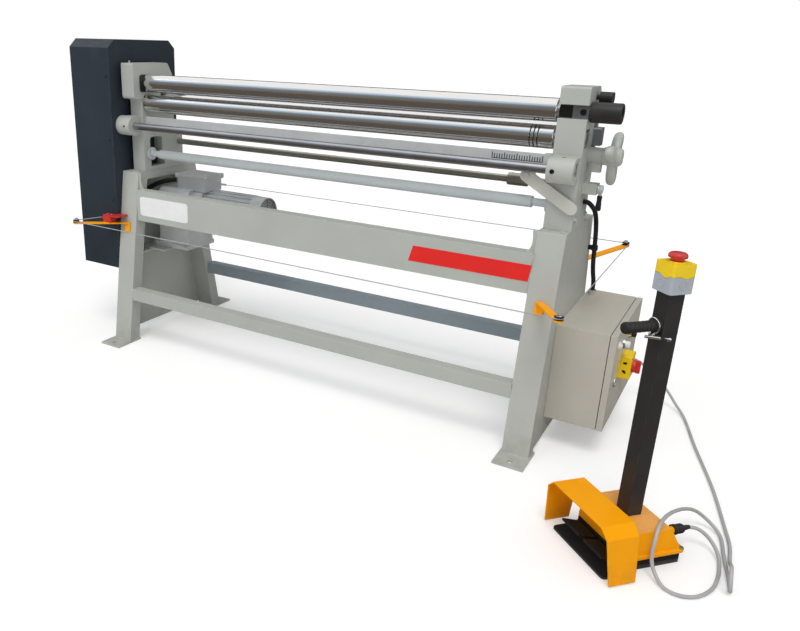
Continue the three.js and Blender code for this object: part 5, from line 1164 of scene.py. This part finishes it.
def wave_skirt(bm, turn):
    """Thin skirt of the yellow lid, with a wavy lower edge, on the face after quarter turns."""
    steps, top, edge, swing, deep, sunk = 24, 706, 700.5, 3.4, 0.8, -0.3
    face = Matrix.Translation((BOX["a"], BOX["b"], 0)) @ Matrix.Rotation(turn * math.pi / 2, 4, "Z")
    place = face @ along_y(-BOX["out"])
    sections = []
    for k in range(steps + 1):
        u = BOX["half"] * (2 * k / steps - 1)
        low = edge + swing * math.sin(2 * math.pi * (k / steps) + 0.6)
        corners = ((u, low, sunk), (u, low, deep), (u, top, deep), (u, top, sunk))
        sections.append([bm.verts.new(place @ Vector(corner)) for corner in corners])
    skin(bm, sections)


def stop_box():
    """Wavy skirt round the lid, and knock-outs in the two seen faces."""
    bm = bmesh.new()
    for turn in range(4):
        wave_skirt(bm, turn)
    piece("stop_box_skirt", bm, FRAME, "yellow_plastic", place=PEDAL)
    a, b, out, z = BOX["a"], BOX["b"], BOX["out"], 683
    bm = bmesh.new()
    for origin, axis in (((a, b - out, z), FRONTWARD), ((a + out, b, z), X_AXIS)):
        lathe(bm, [(7.6, -0.4), (9, -0.4), (9, 0.5), (8.6, 0.8), (8, 0.8), (7.6, 0.5), (7.6, -0.4)],
              origin, axis, 36)
    piece("stop_box_knockouts", bm, FRAME, "grey_plastic", place=PEDAL)


for build in (top_roll, lower_roll, rear_roll, tail_sleeve, front_bar, tie_tube, cross_shaft, hand_knob,
              frame_darks, scale_ticks, blank_plates, frame_fasteners, levers, cover_screws,
              motor_grille, drive_bolts, terminal_box, motor_lead, conduit, door_seal, door_lock,
              isolator, door_fittings, safety_rope):
    build()
pedal_ribs("left_pedal", 39, 111)
pedal_ribs("right_pedal", 125, 197)
for build in (pedal_cover, pedal_gland, post_handle, mushroom, stop_box_collar, stop_box):
    build()


# Floor, world and lamps
CARD_SPAN = 40.0


def flat_sheet(name, corners):
    """Object with a single face and its material."""
    bm = bmesh.new()
    bm.faces.new([bm.verts.new(corner) for corner in corners])
    mesh = bpy.data.meshes.new(name)
    bm.to_mesh(mesh)
    bm.free()
    sheet = bpy.data.objects.new(name, mesh)
    scene.collection.objects.link(sheet)
    mesh.materials.append(bpy.data.materials.new(name))
    return sheet


def make_floor():
    """Pale floor with a little glow of its own where it is seen."""
    side, tone, glow_share = 40.0, 0.8, 0.27
    floor = flat_sheet("floor", [(-side, -side, 0), (side, -side, 0), (side, side, 0), (-side, side, 0)])
    tree = Tree(floor.data.materials[0])
    diffuse = tree.node("ShaderNodeBsdfDiffuse")
    diffuse.inputs["Color"].default_value = (tone, tone, tone, 1)
    glow = tree.node("ShaderNodeEmission")
    tree.link(tree.math("MULTIPLY", tree.seen_rays(), glow_share), glow.inputs["Strength"])
    both = tree.node("ShaderNodeAddShader")
    tree.link(diffuse.outputs[0], both.inputs[0])
    tree.link(glow.outputs[0], both.inputs[1])
    tree.link(both.outputs[0], tree.node("ShaderNodeOutputMaterial").inputs[0])


def make_world():
    """White where it is seen, and a soft cool light elsewhere."""
    scene.world = bpy.data.worlds.new("studio")
    tree = Tree(scene.world)
    mix = tree.node("ShaderNodeMixShader")
    tree.link(tree.seen_rays(), mix.inputs[0])
    soft, white = ((0.97, 0.985, 1.0, 1), 0.55), ((1, 1, 1, 1), 1.0)
    for socket, (colour, strength) in zip(mix.inputs[1:], (soft, white)):
        made = tree.node("ShaderNodeBackground")
        made.inputs["Color"].default_value = colour
        made.inputs["Strength"].default_value = strength
        tree.link(made.outputs[0], socket)
    tree.link(mix.outputs[0], tree.node("ShaderNodeOutputWorld").inputs[0])


def make_sun(name, direction, strength, spread, colour):
    data = bpy.data.lights.new(name, "SUN")
    data.energy = strength
    data.angle = math.radians(spread)
    data.color = colour
    lamp = bpy.data.objects.new(name, data)
    scene.collection.objects.link(lamp)
    lamp.matrix_world = Vector(direction).to_track_quat("-Z", "Y").to_matrix().to_4x4()


def make_card(name, corners, bands):
    """Card of the studio that only shows in gloss, with bands of tone going up in metres."""
    card = flat_sheet(name, corners)
    tree = Tree(card.data.materials[0])
    split = tree.node("ShaderNodeSeparateXYZ")
    ramp = tree.node("ShaderNodeValToRGB")
    glow = tree.node("ShaderNodeEmission")
    tree.link(tree.node("ShaderNodeTexCoord").outputs["Object"], split.inputs[0])
    tree.link(tree.math("DIVIDE", split.outputs[2], CARD_SPAN), ramp.inputs[0])
    tree.link(ramp.outputs[0], glow.inputs["Color"])
    tree.link(glow.outputs[0], tree.node("ShaderNodeOutputMaterial").inputs[0])
    while len(ramp.color_ramp.elements) < len(bands):
        ramp.color_ramp.elements.new(1.0)
    for element, (height, colour) in zip(ramp.color_ramp.elements, bands):
        element.position = height / CARD_SPAN
        element.color = rgba(colour)
    card.visible_camera = False
    card.visible_diffuse = False
    card.visible_transmission = False
    card.visible_volume_scatter = False
    card.visible_shadow = False


def make_cards():
    """Dark ground and back, and a wall whose tones show as bands in the rolls."""
    ground, back, near_white = (0.105, 0.09, 0.075), (0.1, 0.1, 0.11), (1, 0.99, 0.96)
    make_card("low_card", [(-16, -9, 0.01), (9, -9, 0.01), (9, 9, 0.01), (-16, 9, 0.01)],
              [(0, ground), (CARD_SPAN, ground)])
    make_card("back_card", [(-18, 9, 0), (10, 9, 0), (10, 9, 8), (-18, 9, 8)],
              [(0, back), (CARD_SPAN, back)])
    make_card("wall_card", [(-18, -9, 0), (10, -9, 0), (10, -9, CARD_SPAN), (-18, -9, CARD_SPAN)],
              [(0, (0.15, 0.13, 0.11)), (3.5, (0.17, 0.165, 0.155)), (6.5, (0.21, 0.24, 0.28)),
               (8.5, (0.42, 0.55, 0.72)), (12, (0.52, 0.68, 0.85)), (16, near_white),
               (CARD_SPAN, near_white)])


make_cards()
make_floor()
make_world()
make_sun("key", (-0.2, 0.5, -1.0), 1.35, 28, (1.0, 0.985, 0.95))
make_sun("fill", (0.6, 0.75, -0.55), 0.45, 50, (0.95, 0.98, 1.0))

scene.view_settings.view_transform = "Standard"
